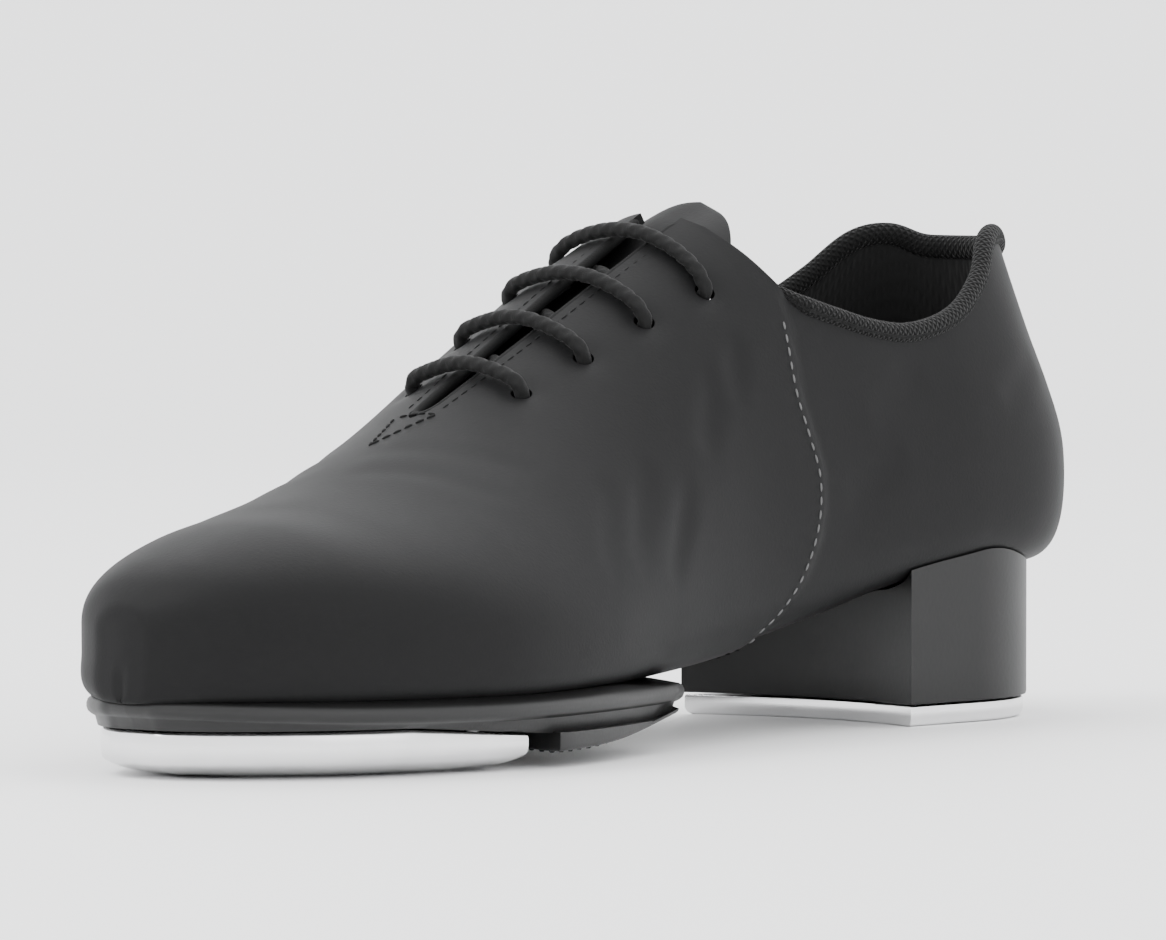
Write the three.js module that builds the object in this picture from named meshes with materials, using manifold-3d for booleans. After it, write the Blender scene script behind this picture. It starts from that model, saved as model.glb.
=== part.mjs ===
// A lace-up tap shoe for the right foot: split sole, block heel, screwed-on toe and heel taps.
// Millimetres. +Y runs from the heel to the toe, +X to the wearer's right (the outer side), +Z up.
// While it is built, y = 0 is the back of the heel and x = 0 the middle of the heel; at the end the
// whole shoe is moved so that the origin is the middle of its footprint, on the floor.
import * as THREE from "three";
import { mergeVertices } from "three/addons/utils/BufferGeometryUtils.js";
import Module from "manifold-3d";

const wasm = await Module();
wasm.setup();

// ---- Driving dimensions ----
const shoeLength = 232;
const ballWidth = 82.5;
const heelSeat = 25; // underside of the upper at the heel, above the floor
const forefootStack = 11; // underside of the upper at the ball, above the floor
const toeSpring = 1.5; // how much higher the underside is at the toe than at the ball
const instepHeight = 56; // top of the last above its widest line, over the heel
const wall = 1.8; // leather and lining together
const gap = 0.3; // between pieces that touch
const lastingMargin = 12; // leather turned in under the foot, where the sole closes the upper
const insoleThickness = 2.4;
const tongueThickness = 1.6;
const bindingRadius = 1.8;
const laceRadius = 1.3;
const laceHoleRadius = 1.7;
const laceRows = 4;
const facingInsetBase = 9.4; // from the throat's edge to the lowest lace holes
const facingInsetTop = 12.4; // and to the highest
const throatHalfBase = 2.2;
const throatHalfTop = 4.5;
const soleLip = 0.6; // the rubber lip stands this far inside the upper's outline
const soleReturn = 2.8; // the rubber's bottom edge stands this far inside the upper's outline
const lipTop = 0.9; // the rubber lip's top above the upper's underside
const lipBelow = 3; // and its lower edge below it
const lipFadeFrom = 0.64; // share of the length where the lip starts to thin out towards the back
const patchClearance = 2.6; // the rubber tread above the floor, just behind the toe tap
const patchRise = 6.2; // how much the tread curves up to its rear edge
const treadEdge = 1.5; // thickness of the rubber at the tread's rear edge
const tapInset = 3.2; // the toe tap's rim inside the upper's outline
const tapWallTop = 7.4; // top of the toe tap's rim at its front
const tapWallRear = 5; // and at its rear edge
const tapEdge = 2.8; // the rim's lower edge above the floor
const tapGroove = 4; // between the toe tap's rear edge and the tread
const heelWidth = 51.5;
const heelBack = 10; // the heel block's rear edge, forward of the back of the upper
const heelFront = 56.5;
const breastHollow = 4.5; // how deep the heel's front face curves in
const heelCup = 6; // how far the heel block may rise round the upper's rounded underside
const heelTapThickness = 3.4;
const heelTapInset = 0.6;
const screwHeadRadius = 4;
const screwHeadHeight = 2;
const screwShankRadius = 1.5;
const screwShankLength = 7;
const heelScrewLift = 0.25; // the heads stay this far above the plane that the tap rests on
const toeScrewLift = 0.55;
const toeScrewInner = [-0.478, 5.7]; // share of the ball width, distance ahead of the tap's rear
const toeScrewOuter = [0.173, 7];
const toeScrewFront = [-0.236, 16.4]; // share of the ball width, distance behind the toe
const heelScrewAcross = 0.36; // share of the heel width
const heelScrewFront = 12; // distance behind the heel's front
const heelScrewBack = 8.5; // distance ahead of the heel's back
const crossWidth = 1;
const crossLength = 4.4;
const crossDepth = 1.1;
const crossTurn = 0.5; // radians
const toCentre = 1000; // an inset beyond any outline's reach, which closes a ring to a point

// ---- The last ----
// Each row is one cross-section: its share of the length, how far the inner and the outer edge stand
// from the heel's middle line as shares of the ball width, the height of the underside as shares of
// the heel rise and of the toe spring, the widest line above the underside, the crown above the
// widest line as a share of the instep height, and how square the section is above and below.
const lastRows = [
  [0, 0, 0, 1, 0, 20, 1, 1.55, 4.5],
  [0.0015, 0.05, 0.05, 1, 0, 20, 1, 1.55, 4.5],
  [0.0065, 0.103, 0.103, 1, 0, 20, 1, 1.55, 4.5],
  [0.022, 0.187, 0.187, 1, 0, 20, 1, 1.55, 4.5],
  [0.052, 0.264, 0.264, 1, 0, 20, 1, 1.55, 4.5],
  [0.095, 0.315, 0.315, 0.99, 0, 20, 1, 1.55, 4.5],
  [0.164, 0.34, 0.345, 0.95, 0, 19.5, 1.02, 1.55, 4.3],
  [0.25, 0.342, 0.354, 0.73, 0, 19.7, 1.03, 1.65, 4.2],
  [0.345, 0.348, 0.378, 0.36, 0, 18.5, 0.985, 2, 3.8],
  [0.444, 0.38, 0.424, 0.1, 0, 15.8, 0.9, 2.15, 3.8],
  [0.552, 0.466, 0.461, 0, 0, 13, 0.745, 1.8, 4.2],
  [0.655, 0.57, 0.446, 0, 0, 10.5, 0.57, 1.65, 5],
  [0.75, 0.62, 0.367, 0, 0, 10.5, 0.415, 1.8, 6],
  [0.828, 0.611, 0.253, 0, 0.1, 11, 0.325, 2.05, 6],
  [0.892, 0.563, 0.134, 0, 0.3, 11, 0.278, 2.2, 6],
  [0.944, 0.474, 0.036, 0, 0.6, 11, 0.213, 2.2, 6],
  [0.978, 0.38, -0.05, 0, 0.85, 11, 0.145, 2.2, 6],
  [0.996, 0.295, -0.132, 0, 1, 10, 0.085, 2.2, 6],
  [0.999, 0.258, -0.176, 0, 1, 10, 0.043, 2.2, 6],
  [1, 0.218, -0.218, 0, 1, 10, 0, 2.2, 6],
];
// How far the back of the heel stands forward, at heights above the heel seat.
const heelCurve = [
  [-4, 3.8],
  [5, 1.2],
  [15, 0],
  [23, 0.9],
  [31, 3.8],
  [41, 8],
  [51, 10.6],
  [60, 11.4],
  [80, 11.6],
];
const heelCurveReach = 0.52; // share of the length over which the heel curve fades out
// The finished topline seen from the side: share of the length, height above the heel seat.
const topline = [
  [-0.05, 55.4],
  [0.0547, 55.8],
  [0.08, 58],
  [0.105, 56.9],
  [0.134, 51],
  [0.178, 45],
  [0.231, 42.2],
  [0.27, 42.8],
  [0.303, 44.6],
  [0.348, 47.9],
  [0.368, 51.4],
  [0.3815, 56.6],
  [0.4, 68],
];
const bindingEnd = 0.352; // share of the length where the binding stops at the facings
const throatBase = 0.645;
const throatTop = 0.38;
const throatShift = 0.03; // the throat's base lies towards the inner side, as a share of ball width
const holesFrom = 0.598; // share of the length of the lowest pair of lace holes
const holesTo = 0.4224;
const tongueFront = 0.63;
const tongueBack = 0.345;
const tongueHalfFront = 13;
const tongueHalfBack = 17;
const treadInner = 0.538; // share of the length where the tread meets the inner edge
const treadOuter = 0.511;
const treadBack = 0.49;
const tapRearInner = 0.7414;
const tapRearOuter = 0.754;
const tapRearBow = 7; // how far the toe tap's rear edge bows towards the heel
const flatInset = 15; // the flat spot starts this far inside the toe tap's rim

const stepsPerRow = 2;
const stepsAround = 24;

// Smooth curve through rows of numbers, by a row index that may lie between two rows.
function betweenRows(rows, index) {
  const at = Math.min(Math.floor(index), rows.length - 2);
  const t = index - at;
  const pick = (k) => rows[Math.max(0, Math.min(rows.length - 1, k))];
  const [a, b, c, d] = [pick(at - 1), pick(at), pick(at + 1), pick(at + 2)];
  return b.map((value, k) => {
    const slopeIn = (c[k] - a[k]) / 2;
    const slopeOut = (d[k] - value) / 2;
    const rise = c[k] - value;
    const bend = 3 * rise - 2 * slopeIn - slopeOut;
    const twist = slopeIn + slopeOut - 2 * rise;
    return value + t * (slopeIn + t * (bend + t * twist));
  });
}

// Smooth curve through [position, value] points, at any position.
function alongPoints(points, position) {
  const last = points.length - 1;
  if (position <= points[0][0]) return points[0][1];
  if (position >= points[last][0]) return points[last][1];
  let k = 0;
  while (position > points[k + 1][0]) k += 1;
  const slope = (j) => {
    const before = points[Math.max(0, j - 1)];
    const after = points[Math.min(last, j + 1)];
    return (after[1] - before[1]) / (after[0] - before[0]);
  };
  const span = points[k + 1][0] - points[k][0];
  const t = (position - points[k][0]) / span;
  const rise = points[k + 1][1] - points[k][1];
  const into = slope(k) * span;
  const out = slope(k + 1) * span;
  return points[k][1] + t * (into + t * (3 * rise - 2 * into - out + t * (into + out - 2 * rise)));
}

// The measures of the last's cross-section at a row index.
function section(index) {
  const row = betweenRows(lastRows, index);
  const [along, inner, outer, lift, spring, girth, crown, above, below] = row;
  const underside = forefootStack + (heelSeat - forefootStack) * lift + toeSpring * spring;
  const open = Math.min(1, (lastRows.length - 1 - index) * 2);
  return {
    y: along * shoeLength,
    middle: ((outer - inner) / 2) * ballWidth,
    half: Math.max(0, (outer + inner) / 2) * ballWidth,
    underside,
    widest: underside + girth,
    depth: open > 0 ? girth : 0,
    crown: crown * instepHeight,
    above,
    below,
  };
}

// The row index of the cross-section at a distance from the heel.
function indexAt(y) {
  let low = 0;
  let high = lastRows.length - 1;
  for (let step = 0; step < 40; step += 1) {
    const mid = (low + high) / 2;
    if (section(mid).y < y) low = mid;
    else high = mid;
  }
  return (low + high) / 2;
}

// How far the last leans forward at a height, fading out from the heel to the instep.
function lean(y, z) {
  const fade = Math.max(0, 1 - y / (heelCurveReach * shoeLength)) ** 2;
  return alongPoints(heelCurve, z - heelSeat) * fade;
}

// A point of the last's surface: angle 0 is the outer side, 90 degrees the top.
function lastPoint(index, angle) {
  const s = section(index);
  const [side, rise] = [Math.cos(angle), Math.sin(angle)].map((v) => (Math.abs(v) < 1e-9 ? 0 : v));
  const power = 2 / (rise >= 0 ? s.above : s.below);
  const x = s.middle + s.half * Math.sign(side) * Math.abs(side) ** power;
  const reach = rise >= 0 ? s.crown : s.depth;
  const z = s.widest + reach * Math.sign(rise) * Math.abs(rise) ** power;
  return new THREE.Vector3(x, s.y + lean(s.y, z), z);
}

// Height of the last's upper surface over a point of the plan, forward of the heel curve's reach.
function lastHeight(x, y) {
  const s = section(indexAt(y));
  const share = Math.min(1, Math.abs(x - s.middle) / s.half);
  return s.widest + s.crown * (1 - share ** s.above) ** (1 / s.above);
}

// Height of the underside of the last along its length.
const undersideAt = (y) => section(indexAt(Math.min(y, shoeLength - 1))).underside;

// ---- Turning shapes into solids and back ----
function solid(geometry) {
  const bare = new THREE.BufferGeometry();
  bare.setAttribute("position", geometry.getAttribute("position").clone());
  if (geometry.index) bare.setIndex(geometry.index.clone());
  const merged = mergeVertices(bare, 1e-4);
  const corners = [];
  for (let k = 0; k < merged.index.count; k += 3) {
    const [a, b, c] = [0, 1, 2].map((j) => merged.index.getX(k + j));
    if (a !== b && b !== c && c !== a) corners.push(a, b, c);
  }
  return new wasm.Manifold(
    new wasm.Mesh({
      numProp: 3,
      vertProperties: new Float32Array(merged.attributes.position.array),
      triVerts: new Uint32Array(corners),
    }),
  );
}

function geometryOf(made) {
  const mesh = made.getMesh();
  const geometry = new THREE.BufferGeometry();
  geometry.setAttribute("position", new THREE.BufferAttribute(mesh.vertProperties, 3));
  geometry.setIndex(new THREE.BufferAttribute(mesh.triVerts, 1));
  const flat = geometry.toNonIndexed();
  flat.computeVertexNormals();
  return flat;
}

// A closed skin over rings of points, each ring as long as the others; the ends are fanned.
function skin(rings) {
  const points = rings.flat();
  const around = rings[0].length;
  const corners = [];
  for (let r = 0; r + 1 < rings.length; r += 1) {
    for (let k = 0; k < around; k += 1) {
      const next = (k + 1) % around;
      const [a, b] = [r * around + k, r * around + next];
      const [c, d] = [a + around, b + around];
      corners.push(a, b, d, a, d, c);
    }
  }
  const geometry = new THREE.BufferGeometry().setFromPoints(points);
  geometry.setIndex(corners);
  return geometry;
}

// The last as a solid, grown or shrunk along its surface normals.
function lastSolid(growth) {
  const rings = [];
  const count = (lastRows.length - 1) * stepsPerRow;
  for (let k = 0; k <= count; k += 1) {
    const index = k / stepsPerRow;
    rings.push(
      Array.from({ length: stepsAround }, (_, j) =>
        lastPoint(index, -(j / stepsAround) * Math.PI * 2),
      ),
    );
  }
  const merged = mergeVertices(skin(rings), 1e-4);
  merged.computeVertexNormals();
  const place = merged.attributes.position;
  const normal = merged.attributes.normal;
  for (let k = 0; k < place.count; k += 1) {
    place.setXYZ(
      k,
      place.getX(k) + growth * normal.getX(k),
      place.getY(k) + growth * normal.getY(k),
      place.getZ(k) + growth * normal.getZ(k),
    );
  }
  return solid(merged);
}

// A plan outline raised into a prism.
function prism(outline, low, high) {
  const shape = new THREE.Shape(outline);
  const geometry = new THREE.ExtrudeGeometry(shape, { depth: high - low, bevelEnabled: false });
  return solid(geometry.translate(0, 0, low));
}

// A side outline (y, z) drawn out across the shoe.
function sidePrism(outline, reach) {
  const shape = new THREE.Shape(outline);
  const geometry = new THREE.ExtrudeGeometry(shape, { depth: 2 * reach, bevelEnabled: false });
  geometry.translate(0, 0, -reach);
  const turn = new THREE.Matrix4().makeBasis(
    new THREE.Vector3(0, 1, 0),
    new THREE.Vector3(0, 0, 1),
    new THREE.Vector3(1, 0, 0),
  );
  return solid(geometry.applyMatrix4(turn));
}

// A round bar along a curve.
function bar(points, radius, steps, sides) {
  const ring = Array.from({ length: sides }, (_, k) => {
    const angle = ((k + 0.5) / sides) * Math.PI * 2;
    return new THREE.Vector2(Math.cos(angle) * radius, Math.sin(angle) * radius);
  });
  const extrudePath = new THREE.CatmullRomCurve3(points);
  return solid(new THREE.ExtrudeGeometry(new THREE.Shape(ring), { steps, extrudePath }));
}

// A pin with its axis through a point along a direction.
function pinThrough(point, direction, radius, length) {
  const geometry = new THREE.CylinderGeometry(radius, radius, length, 10);
  const turn = new THREE.Quaternion();
  turn.setFromUnitVectors(new THREE.Vector3(0, 1, 0), direction.clone().normalize());
  geometry.applyQuaternion(turn);
  return solid(geometry.translate(point.x, point.y, point.z));
}

// A plate over a star-shaped outline. Each ring says how far inside the outline it runs and at which
// height; the list goes from the middle of the underside, out round the edge, to the middle on top.
function plate(outline, centre, rings) {
  const loops = rings.map(({ inset, height }) =>
    outline.map((edge) => {
      const out = edge.clone().sub(centre);
      const reach = Math.max(0, out.length() - inset);
      const spot = centre.clone().add(out.setLength(reach));
      return new THREE.Vector3(spot.x, spot.y, height(spot.x, spot.y));
    }),
  );
  return solid(skin(loops));
}

const inward = (outline, centre, inset) =>
  outline.map((edge) => {
    const out = edge.clone().sub(centre);
    return centre.clone().add(out.setLength(Math.max(0, out.length() - inset)));
  });

// ---- Plan outlines ----
const edgeAt = (y, side) => {
  const s = section(indexAt(y));
  return new THREE.Vector2(s.middle + side * s.half, y);
};

// The last's outline forward of two points, closed behind by a bowed line; anticlockwise.
function frontOutline(innerShare, outerShare, bow, inset) {
  const first = indexAt(outerShare * shoeLength);
  const final = indexAt(innerShare * shoeLength);
  const end = lastRows.length - 1;
  const steps = 14;
  const outer = Array.from({ length: steps }, (_, k) => first + ((end - first) * k) / steps);
  const inner = Array.from({ length: steps + 1 }, (_, k) => end - ((end - final) * k) / steps);
  const points = [
    ...outer.map((index) => [index, 1]),
    ...inner.map((index) => [index, -1]),
  ].map(([index, side]) => {
    const s = section(index);
    return new THREE.Vector2(s.middle + side * s.half, s.y);
  });
  const middle = new THREE.Vector2(-0.1 * ballWidth, (0.25 + 0.5 * innerShare + 0.24) * shoeLength);
  const front = inward(points, middle, inset);
  const [from, to] = [front[front.length - 1], front[0]];
  const bowed = [];
  const across = 10;
  for (let k = 1; k < across; k += 1) {
    const t = k / across;
    const point = from.clone().lerp(to, t);
    point.y -= bow * 4 * t * (1 - t);
    bowed.push(point);
  }
  return [...front, ...bowed];
}

const heelHalf = heelWidth / 2;
const heelMiddle = new THREE.Vector2(0, (heelBack + heelFront) / 2);

// The D of the heel: a round back, straight sides and a hollow front; anticlockwise.
function heelOutline() {
  const shape = new THREE.Shape();
  const roundDepth = heelHalf * 1.12;
  shape.moveTo(heelHalf, heelFront);
  shape.quadraticCurveTo(0, heelFront - 2 * breastHollow, -heelHalf, heelFront);
  shape.lineTo(-heelHalf, heelBack + roundDepth);
  shape.bezierCurveTo(
    -heelHalf, heelBack + roundDepth * 0.4, -heelHalf * 0.56, heelBack, 0, heelBack,
  );
  shape.bezierCurveTo(
    heelHalf * 0.56, heelBack, heelHalf, heelBack + roundDepth * 0.4, heelHalf, heelBack + roundDepth,
  );
  return shape.getPoints(12).slice(0, -1);
}

// ---- Upper ----
const outerLast = lastSolid(0);
const innerLast = lastSolid(-wall);
const clearLast = lastSolid(gap);

const toplineAt = (y) => heelSeat + alongPoints(topline, y / shoeLength);
const bindingRise = 2 * bindingRadius + gap;
const cutAt = (y) => {
  const near = (bindingEnd + 0.016) * shoeLength;
  const blend = Math.min(1, Math.max(0, (near - y) / 6));
  return toplineAt(y) - bindingRise * blend;
};

function aboveTopline() {
  const steps = 36;
  const from = -0.05 * shoeLength;
  const to = 0.4 * shoeLength;
  const line = Array.from({ length: steps + 1 }, (_, k) => {
    const y = from + ((to - from) * k) / steps;
    return new THREE.Vector2(y, cutAt(y));
  });
  const ceiling = heelSeat + 3 * instepHeight;
  return sidePrism(
    [...line, new THREE.Vector2(to, ceiling), new THREE.Vector2(from, ceiling)],
    ballWidth,
  );
}

// The middle line of the throat, and half its width, at a distance from the heel.
const throatShare = (y) => (y / shoeLength - throatTop) / (throatBase - throatTop);
const throatMiddle = (y) => -throatShift * ballWidth * throatShare(y);
const throatHalf = (y) => throatHalfTop + (throatHalfBase - throatHalfTop) * throatShare(y);

function throatSlit() {
  const base = throatBase * shoeLength;
  const back = 0.3 * shoeLength;
  const half = throatHalfBase;
  const middle = throatMiddle(base);
  const round = Array.from({ length: 7 }, (_, k) => {
    const angle = (k / 6) * Math.PI;
    return new THREE.Vector2(middle + Math.cos(angle) * half, base + Math.sin(angle) * half);
  });
  const outline = [
    new THREE.Vector2(throatMiddle(back) - throatHalf(back), back),
    new THREE.Vector2(throatMiddle(back) + throatHalf(back), back),
    ...round,
  ];
  return prism(outline, forefootStack + 20, heelSeat + 3 * instepHeight);
}

// Where the lace holes are: one list of pairs, from the lowest to the highest.
const laceRowYs = Array.from(
  { length: laceRows },
  (_, k) => (holesFrom + ((holesTo - holesFrom) * k) / (laceRows - 1)) * shoeLength,
);

function facingSpot(y, side) {
  const share = (y / shoeLength - holesTo) / (holesFrom - holesTo);
  const inset = facingInsetTop + (facingInsetBase - facingInsetTop) * share;
  const x = throatMiddle(y) + side * (throatHalf(y) + inset);
  const step = 0.5;
  const slopeX = (lastHeight(x + step, y) - lastHeight(x - step, y)) / (2 * step);
  const slopeY = (lastHeight(x, y + step) - lastHeight(x, y - step)) / (2 * step);
  return {
    point: new THREE.Vector3(x, y, lastHeight(x, y)),
    normal: new THREE.Vector3(-slopeX, -slopeY, 1).normalize(),
  };
}

const treadMiddle = new THREE.Vector2(-0.1 * ballWidth, 0.765 * shoeLength);
const treadBow = ((treadInner + treadOuter) / 2 - treadBack) * shoeLength;
const treadOutline = frontOutline(treadInner, treadOuter, treadBow, 0);

let upper = outerLast.subtract(innerLast).subtract(aboveTopline()).subtract(throatSlit());
const forefootOpening = inward(treadOutline, treadMiddle, lastingMargin + soleReturn);
upper = upper.subtract(prism(forefootOpening, 0, forefootStack + toeSpring + wall + 2));
const heelOpening = inward(heelOutline(), heelMiddle, lastingMargin);
upper = upper.subtract(prism(heelOpening, heelSeat - 12, heelSeat + wall + 2));
for (const y of laceRowYs) {
  for (const side of [-1, 1]) {
    const { point, normal } = facingSpot(y, side);
    upper = upper.subtract(pinThrough(point, normal, laceHoleRadius, 4 * wall));
  }
}

// ---- Tongue: a strip under the facings that stands up out of the throat ----
const tongueSheet = lastSolid(-(wall + gap)).subtract(lastSolid(-(wall + gap + tongueThickness)));
function tonguePlan() {
  const front = tongueFront * shoeLength;
  const back = tongueBack * shoeLength;
  const shape = new THREE.Shape();
  shape.moveTo(throatMiddle(front) + tongueHalfFront, front);
  shape.lineTo(throatMiddle(front) - tongueHalfFront, front);
  shape.lineTo(-tongueHalfBack, back + tongueHalfBack);
  shape.bezierCurveTo(
    -tongueHalfBack, back + tongueHalfBack * 0.35, -tongueHalfBack * 0.7, back, 0, back,
  );
  shape.bezierCurveTo(
    tongueHalfBack * 0.7, back, tongueHalfBack, back + tongueHalfBack * 0.35,
    tongueHalfBack, back + tongueHalfBack,
  );
  return shape.getPoints(7);
}
const tongue = tongueSheet.intersect(
  prism(tonguePlan(), forefootStack + 22, heelSeat + 3 * instepHeight),
);

// ---- Insole: fills the bottom of the upper, flat across ----
function insoleSlab() {
  const steps = 40;
  const line = Array.from({ length: steps + 1 }, (_, k) => {
    const y = (shoeLength * k) / steps;
    return new THREE.Vector2(y, undersideAt(y) + wall + gap + insoleThickness);
  });
  return sidePrism([new THREE.Vector2(0, 0), new THREE.Vector2(shoeLength, 0), ...line.reverse()],
    ballWidth);
}
const insole = lastSolid(-(wall + gap)).intersect(insoleSlab());

// ---- Binding: a soft roll on the topline, from one facing round the heel to the other ----
function toplinePath() {
  const side = (sign) => {
    const points = [];
    const start = indexAt(bindingEnd * shoeLength);
    const steps = 22;
    for (let k = 0; k < steps; k += 1) {
      const index = start * (1 - k / steps) ** 1.4;
      const s = section(index);
      let z = toplineAt(s.y);
      for (let pass = 0; pass < 12; pass += 1) z = toplineAt(s.y + lean(s.y, z)) - bindingRadius;
      const share = (z - s.widest) / s.crown;
      const half = s.half * (1 - share ** s.above) ** (1 / s.above);
      const inset = Math.max(0, half - wall / 2);
      points.push(new THREE.Vector3(s.middle + sign * inset, s.y + lean(s.y, z) + wall / 2, z));
    }
    return points;
  };
  const back = lean(0, toplineAt(0.04 * shoeLength)) + wall / 2;
  const middle = new THREE.Vector3(0, back, toplineAt(back) - bindingRadius);
  return [...side(-1), middle, ...side(1).reverse()];
}
const binding = bar(toplinePath(), bindingRadius, 40, 8).subtract(upper);

// ---- Toe tap: a domed metal plate with a rolled rim ----
const tapMiddle = new THREE.Vector2(-0.15 * ballWidth, 0.86 * shoeLength);
const tapOutline = frontOutline(tapRearInner, tapRearOuter, tapRearBow, tapInset);
const tapRearY = tapRearInner * shoeLength;
const tapTopAt = (x, y) => {
  const share = Math.min(1, Math.max(0, (y - tapRearY + tapRearBow) / (0.14 * shoeLength)));
  return tapWallRear + (tapWallTop - tapWallRear) * share;
};
const level = (z) => () => z;
const toeTapPlate = plate(tapOutline, tapMiddle, [
  { inset: toCentre, height: level(0) },
  { inset: flatInset, height: level(0) },
  { inset: 9, height: level(0.14 * tapEdge) },
  { inset: 4.5, height: level(0.4 * tapEdge) },
  { inset: 1.5, height: level(0.72 * tapEdge) },
  { inset: 0.3, height: level(tapEdge) },
  { inset: 0, height: (x, y) => tapEdge * 0.6 + tapTopAt(x, y) * 0.4 },
  { inset: 0.5, height: tapTopAt },
  { inset: 12, height: tapTopAt },
  { inset: 22, height: tapTopAt },
  { inset: toCentre, height: tapTopAt },
]);

// ---- Forefoot sole: rubber under the ball and toe, with a tread behind the tap ----
const treadAt = (y) => {
  const front = tapRearY - tapRearBow;
  const share = Math.max(0, (front - y) / (front - treadBack * shoeLength));
  return patchClearance + patchRise * share ** 2;
};
// Height of a line along the rubber's edge: a fixed distance from the upper's underside beside the
// ball, passing over to a fixed distance above the tread at its rear corners.
const lipAt = (fromUnderside, fromTread) => (x, y) => {
  const reach = (lipFadeFrom - treadInner) * shoeLength;
  const share = Math.min(1, Math.max(0, (lipFadeFrom * shoeLength - y) / reach));
  const blend = share * share * (3 - 2 * share);
  return (undersideAt(y) + fromUnderside) * (1 - blend) + (treadAt(y) + fromTread) * blend;
};
const underTread = (x, y) => treadAt(y);
const underUpper = (x, y) => undersideAt(y) + lipTop;
const soleBody = plate(treadOutline, treadMiddle, [
  { inset: toCentre, height: underTread },
  { inset: 34, height: underTread },
  { inset: 18, height: underTread },
  { inset: soleReturn + 1, height: underTread },
  { inset: soleReturn, height: lipAt(-lipBelow - 1.6, 0.2) },
  { inset: soleReturn - 0.5, height: lipAt(-lipBelow, 0.5) },
  { inset: soleLip + 0.4, height: lipAt(-0.8 * lipBelow, 0.7) },
  { inset: soleLip, height: lipAt(-0.45 * lipBelow, 0.9) },
  { inset: soleLip + 0.4, height: lipAt(-0.1 * lipBelow, 0.9 * treadEdge) },
  { inset: soleReturn, height: underUpper },
  { inset: 12, height: underUpper },
  { inset: 26, height: underUpper },
  { inset: toCentre, height: underUpper },
]);
const recessOutline = frontOutline(tapRearInner, tapRearOuter, tapRearBow, 0);
const recess = plate(
  recessOutline.map((point) => {
    const out = point.clone().sub(tapMiddle);
    const wide = point.clone().add(out.setLength(14));
    const rearward = point.y < tapRearY + 2;
    return rearward ? new THREE.Vector2(wide.x, point.y - tapGroove) : wide;
  }),
  tapMiddle,
  [
    { inset: toCentre, height: level(-5) },
    { inset: 0, height: level(-5) },
    { inset: 0, height: (x, y) => tapTopAt(x, y) + gap },
    { inset: 14, height: (x, y) => tapTopAt(x, y) + gap },
    { inset: 24, height: (x, y) => tapTopAt(x, y) + gap },
    { inset: 34, height: (x, y) => tapTopAt(x, y) + gap },
    { inset: toCentre, height: (x, y) => tapTopAt(x, y) + gap },
  ],
);
let forefootSole = soleBody.subtract(recess).subtract(clearLast);

// ---- Heel block and heel tap ----
const heelTop = (x, y) => undersideAt(y) + heelCup;
let heelBlock = plate(heelOutline(), heelMiddle, [
  { inset: toCentre, height: level(heelTapThickness + gap) },
  { inset: 0.3, height: level(heelTapThickness + gap) },
  { inset: 0.3, height: heelTop },
  { inset: 12, height: heelTop },
  { inset: toCentre, height: heelTop },
]).subtract(clearLast);
let heelTap = plate(inward(heelOutline(), heelMiddle, heelTapInset), heelMiddle, [
  { inset: toCentre, height: level(0) },
  { inset: 1.6, height: level(0) },
  { inset: 0.5, height: level(0.35) },
  { inset: 0, height: level(1.2) },
  { inset: 0, height: level(heelTapThickness) },
  { inset: toCentre, height: level(heelTapThickness) },
]);

// ---- Screws ----
// Each screw points up into the shoe; seat is the height of the underside of its head.
const toeScrews = [
  new THREE.Vector2(toeScrewInner[0] * ballWidth, tapRearY + toeScrewInner[1]),
  new THREE.Vector2(toeScrewOuter[0] * ballWidth, tapRearY + toeScrewOuter[1]),
  new THREE.Vector2(toeScrewFront[0] * ballWidth, shoeLength - toeScrewFront[1]),
];
const heelScrews = [
  new THREE.Vector2(-heelScrewAcross * heelWidth, heelFront - heelScrewFront),
  new THREE.Vector2(heelScrewAcross * heelWidth, heelFront - heelScrewFront),
  new THREE.Vector2(0, heelBack + heelScrewBack),
];

function screw(place, lift) {
  const head = screwHeadRadius;
  const profile = [
    [0, 0], [head * 0.45, 0.06], [head * 0.75, 0.35], [head * 0.94, 0.9], [head, 1.5],
    [head, screwHeadHeight], [screwShankRadius, screwHeadHeight],
    [screwShankRadius, screwHeadHeight + screwShankLength], [0, screwHeadHeight + screwShankLength],
  ].map(([r, z]) => new THREE.Vector2(r, z));
  const body = new THREE.LatheGeometry(profile, 10).rotateX(Math.PI / 2);
  let made = solid(body);
  for (const turn of [0, Math.PI / 2]) {
    const slot = new THREE.BoxGeometry(crossLength, crossWidth, 2 * crossDepth).rotateZ(turn + crossTurn);
    made = made.subtract(solid(slot));
  }
  return made.translate([place.x, place.y, lift]);
}

function screwRoom(place, lift, top) {
  const head = pinThrough(
    new THREE.Vector3(place.x, place.y, lift + screwHeadHeight + gap - 5),
    new THREE.Vector3(0, 0, 1), screwHeadRadius + gap, 10,
  );
  const shank = pinThrough(
    new THREE.Vector3(place.x, place.y, top / 2),
    new THREE.Vector3(0, 0, 1), screwShankRadius + gap, top,
  );
  return head.add(shank);
}

const shankTop = (lift) => lift + screwHeadHeight + screwShankLength;
let toeTap = toeTapPlate;
for (const place of toeScrews) {
  const room = screwRoom(place, toeScrewLift, shankTop(toeScrewLift) + gap);
  toeTap = toeTap.subtract(room);
  forefootSole = forefootSole.subtract(room);
}
for (const place of heelScrews) {
  const room = screwRoom(place, heelScrewLift, shankTop(heelScrewLift) + gap);
  heelTap = heelTap.subtract(room);
  heelBlock = heelBlock.subtract(room);
}

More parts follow.
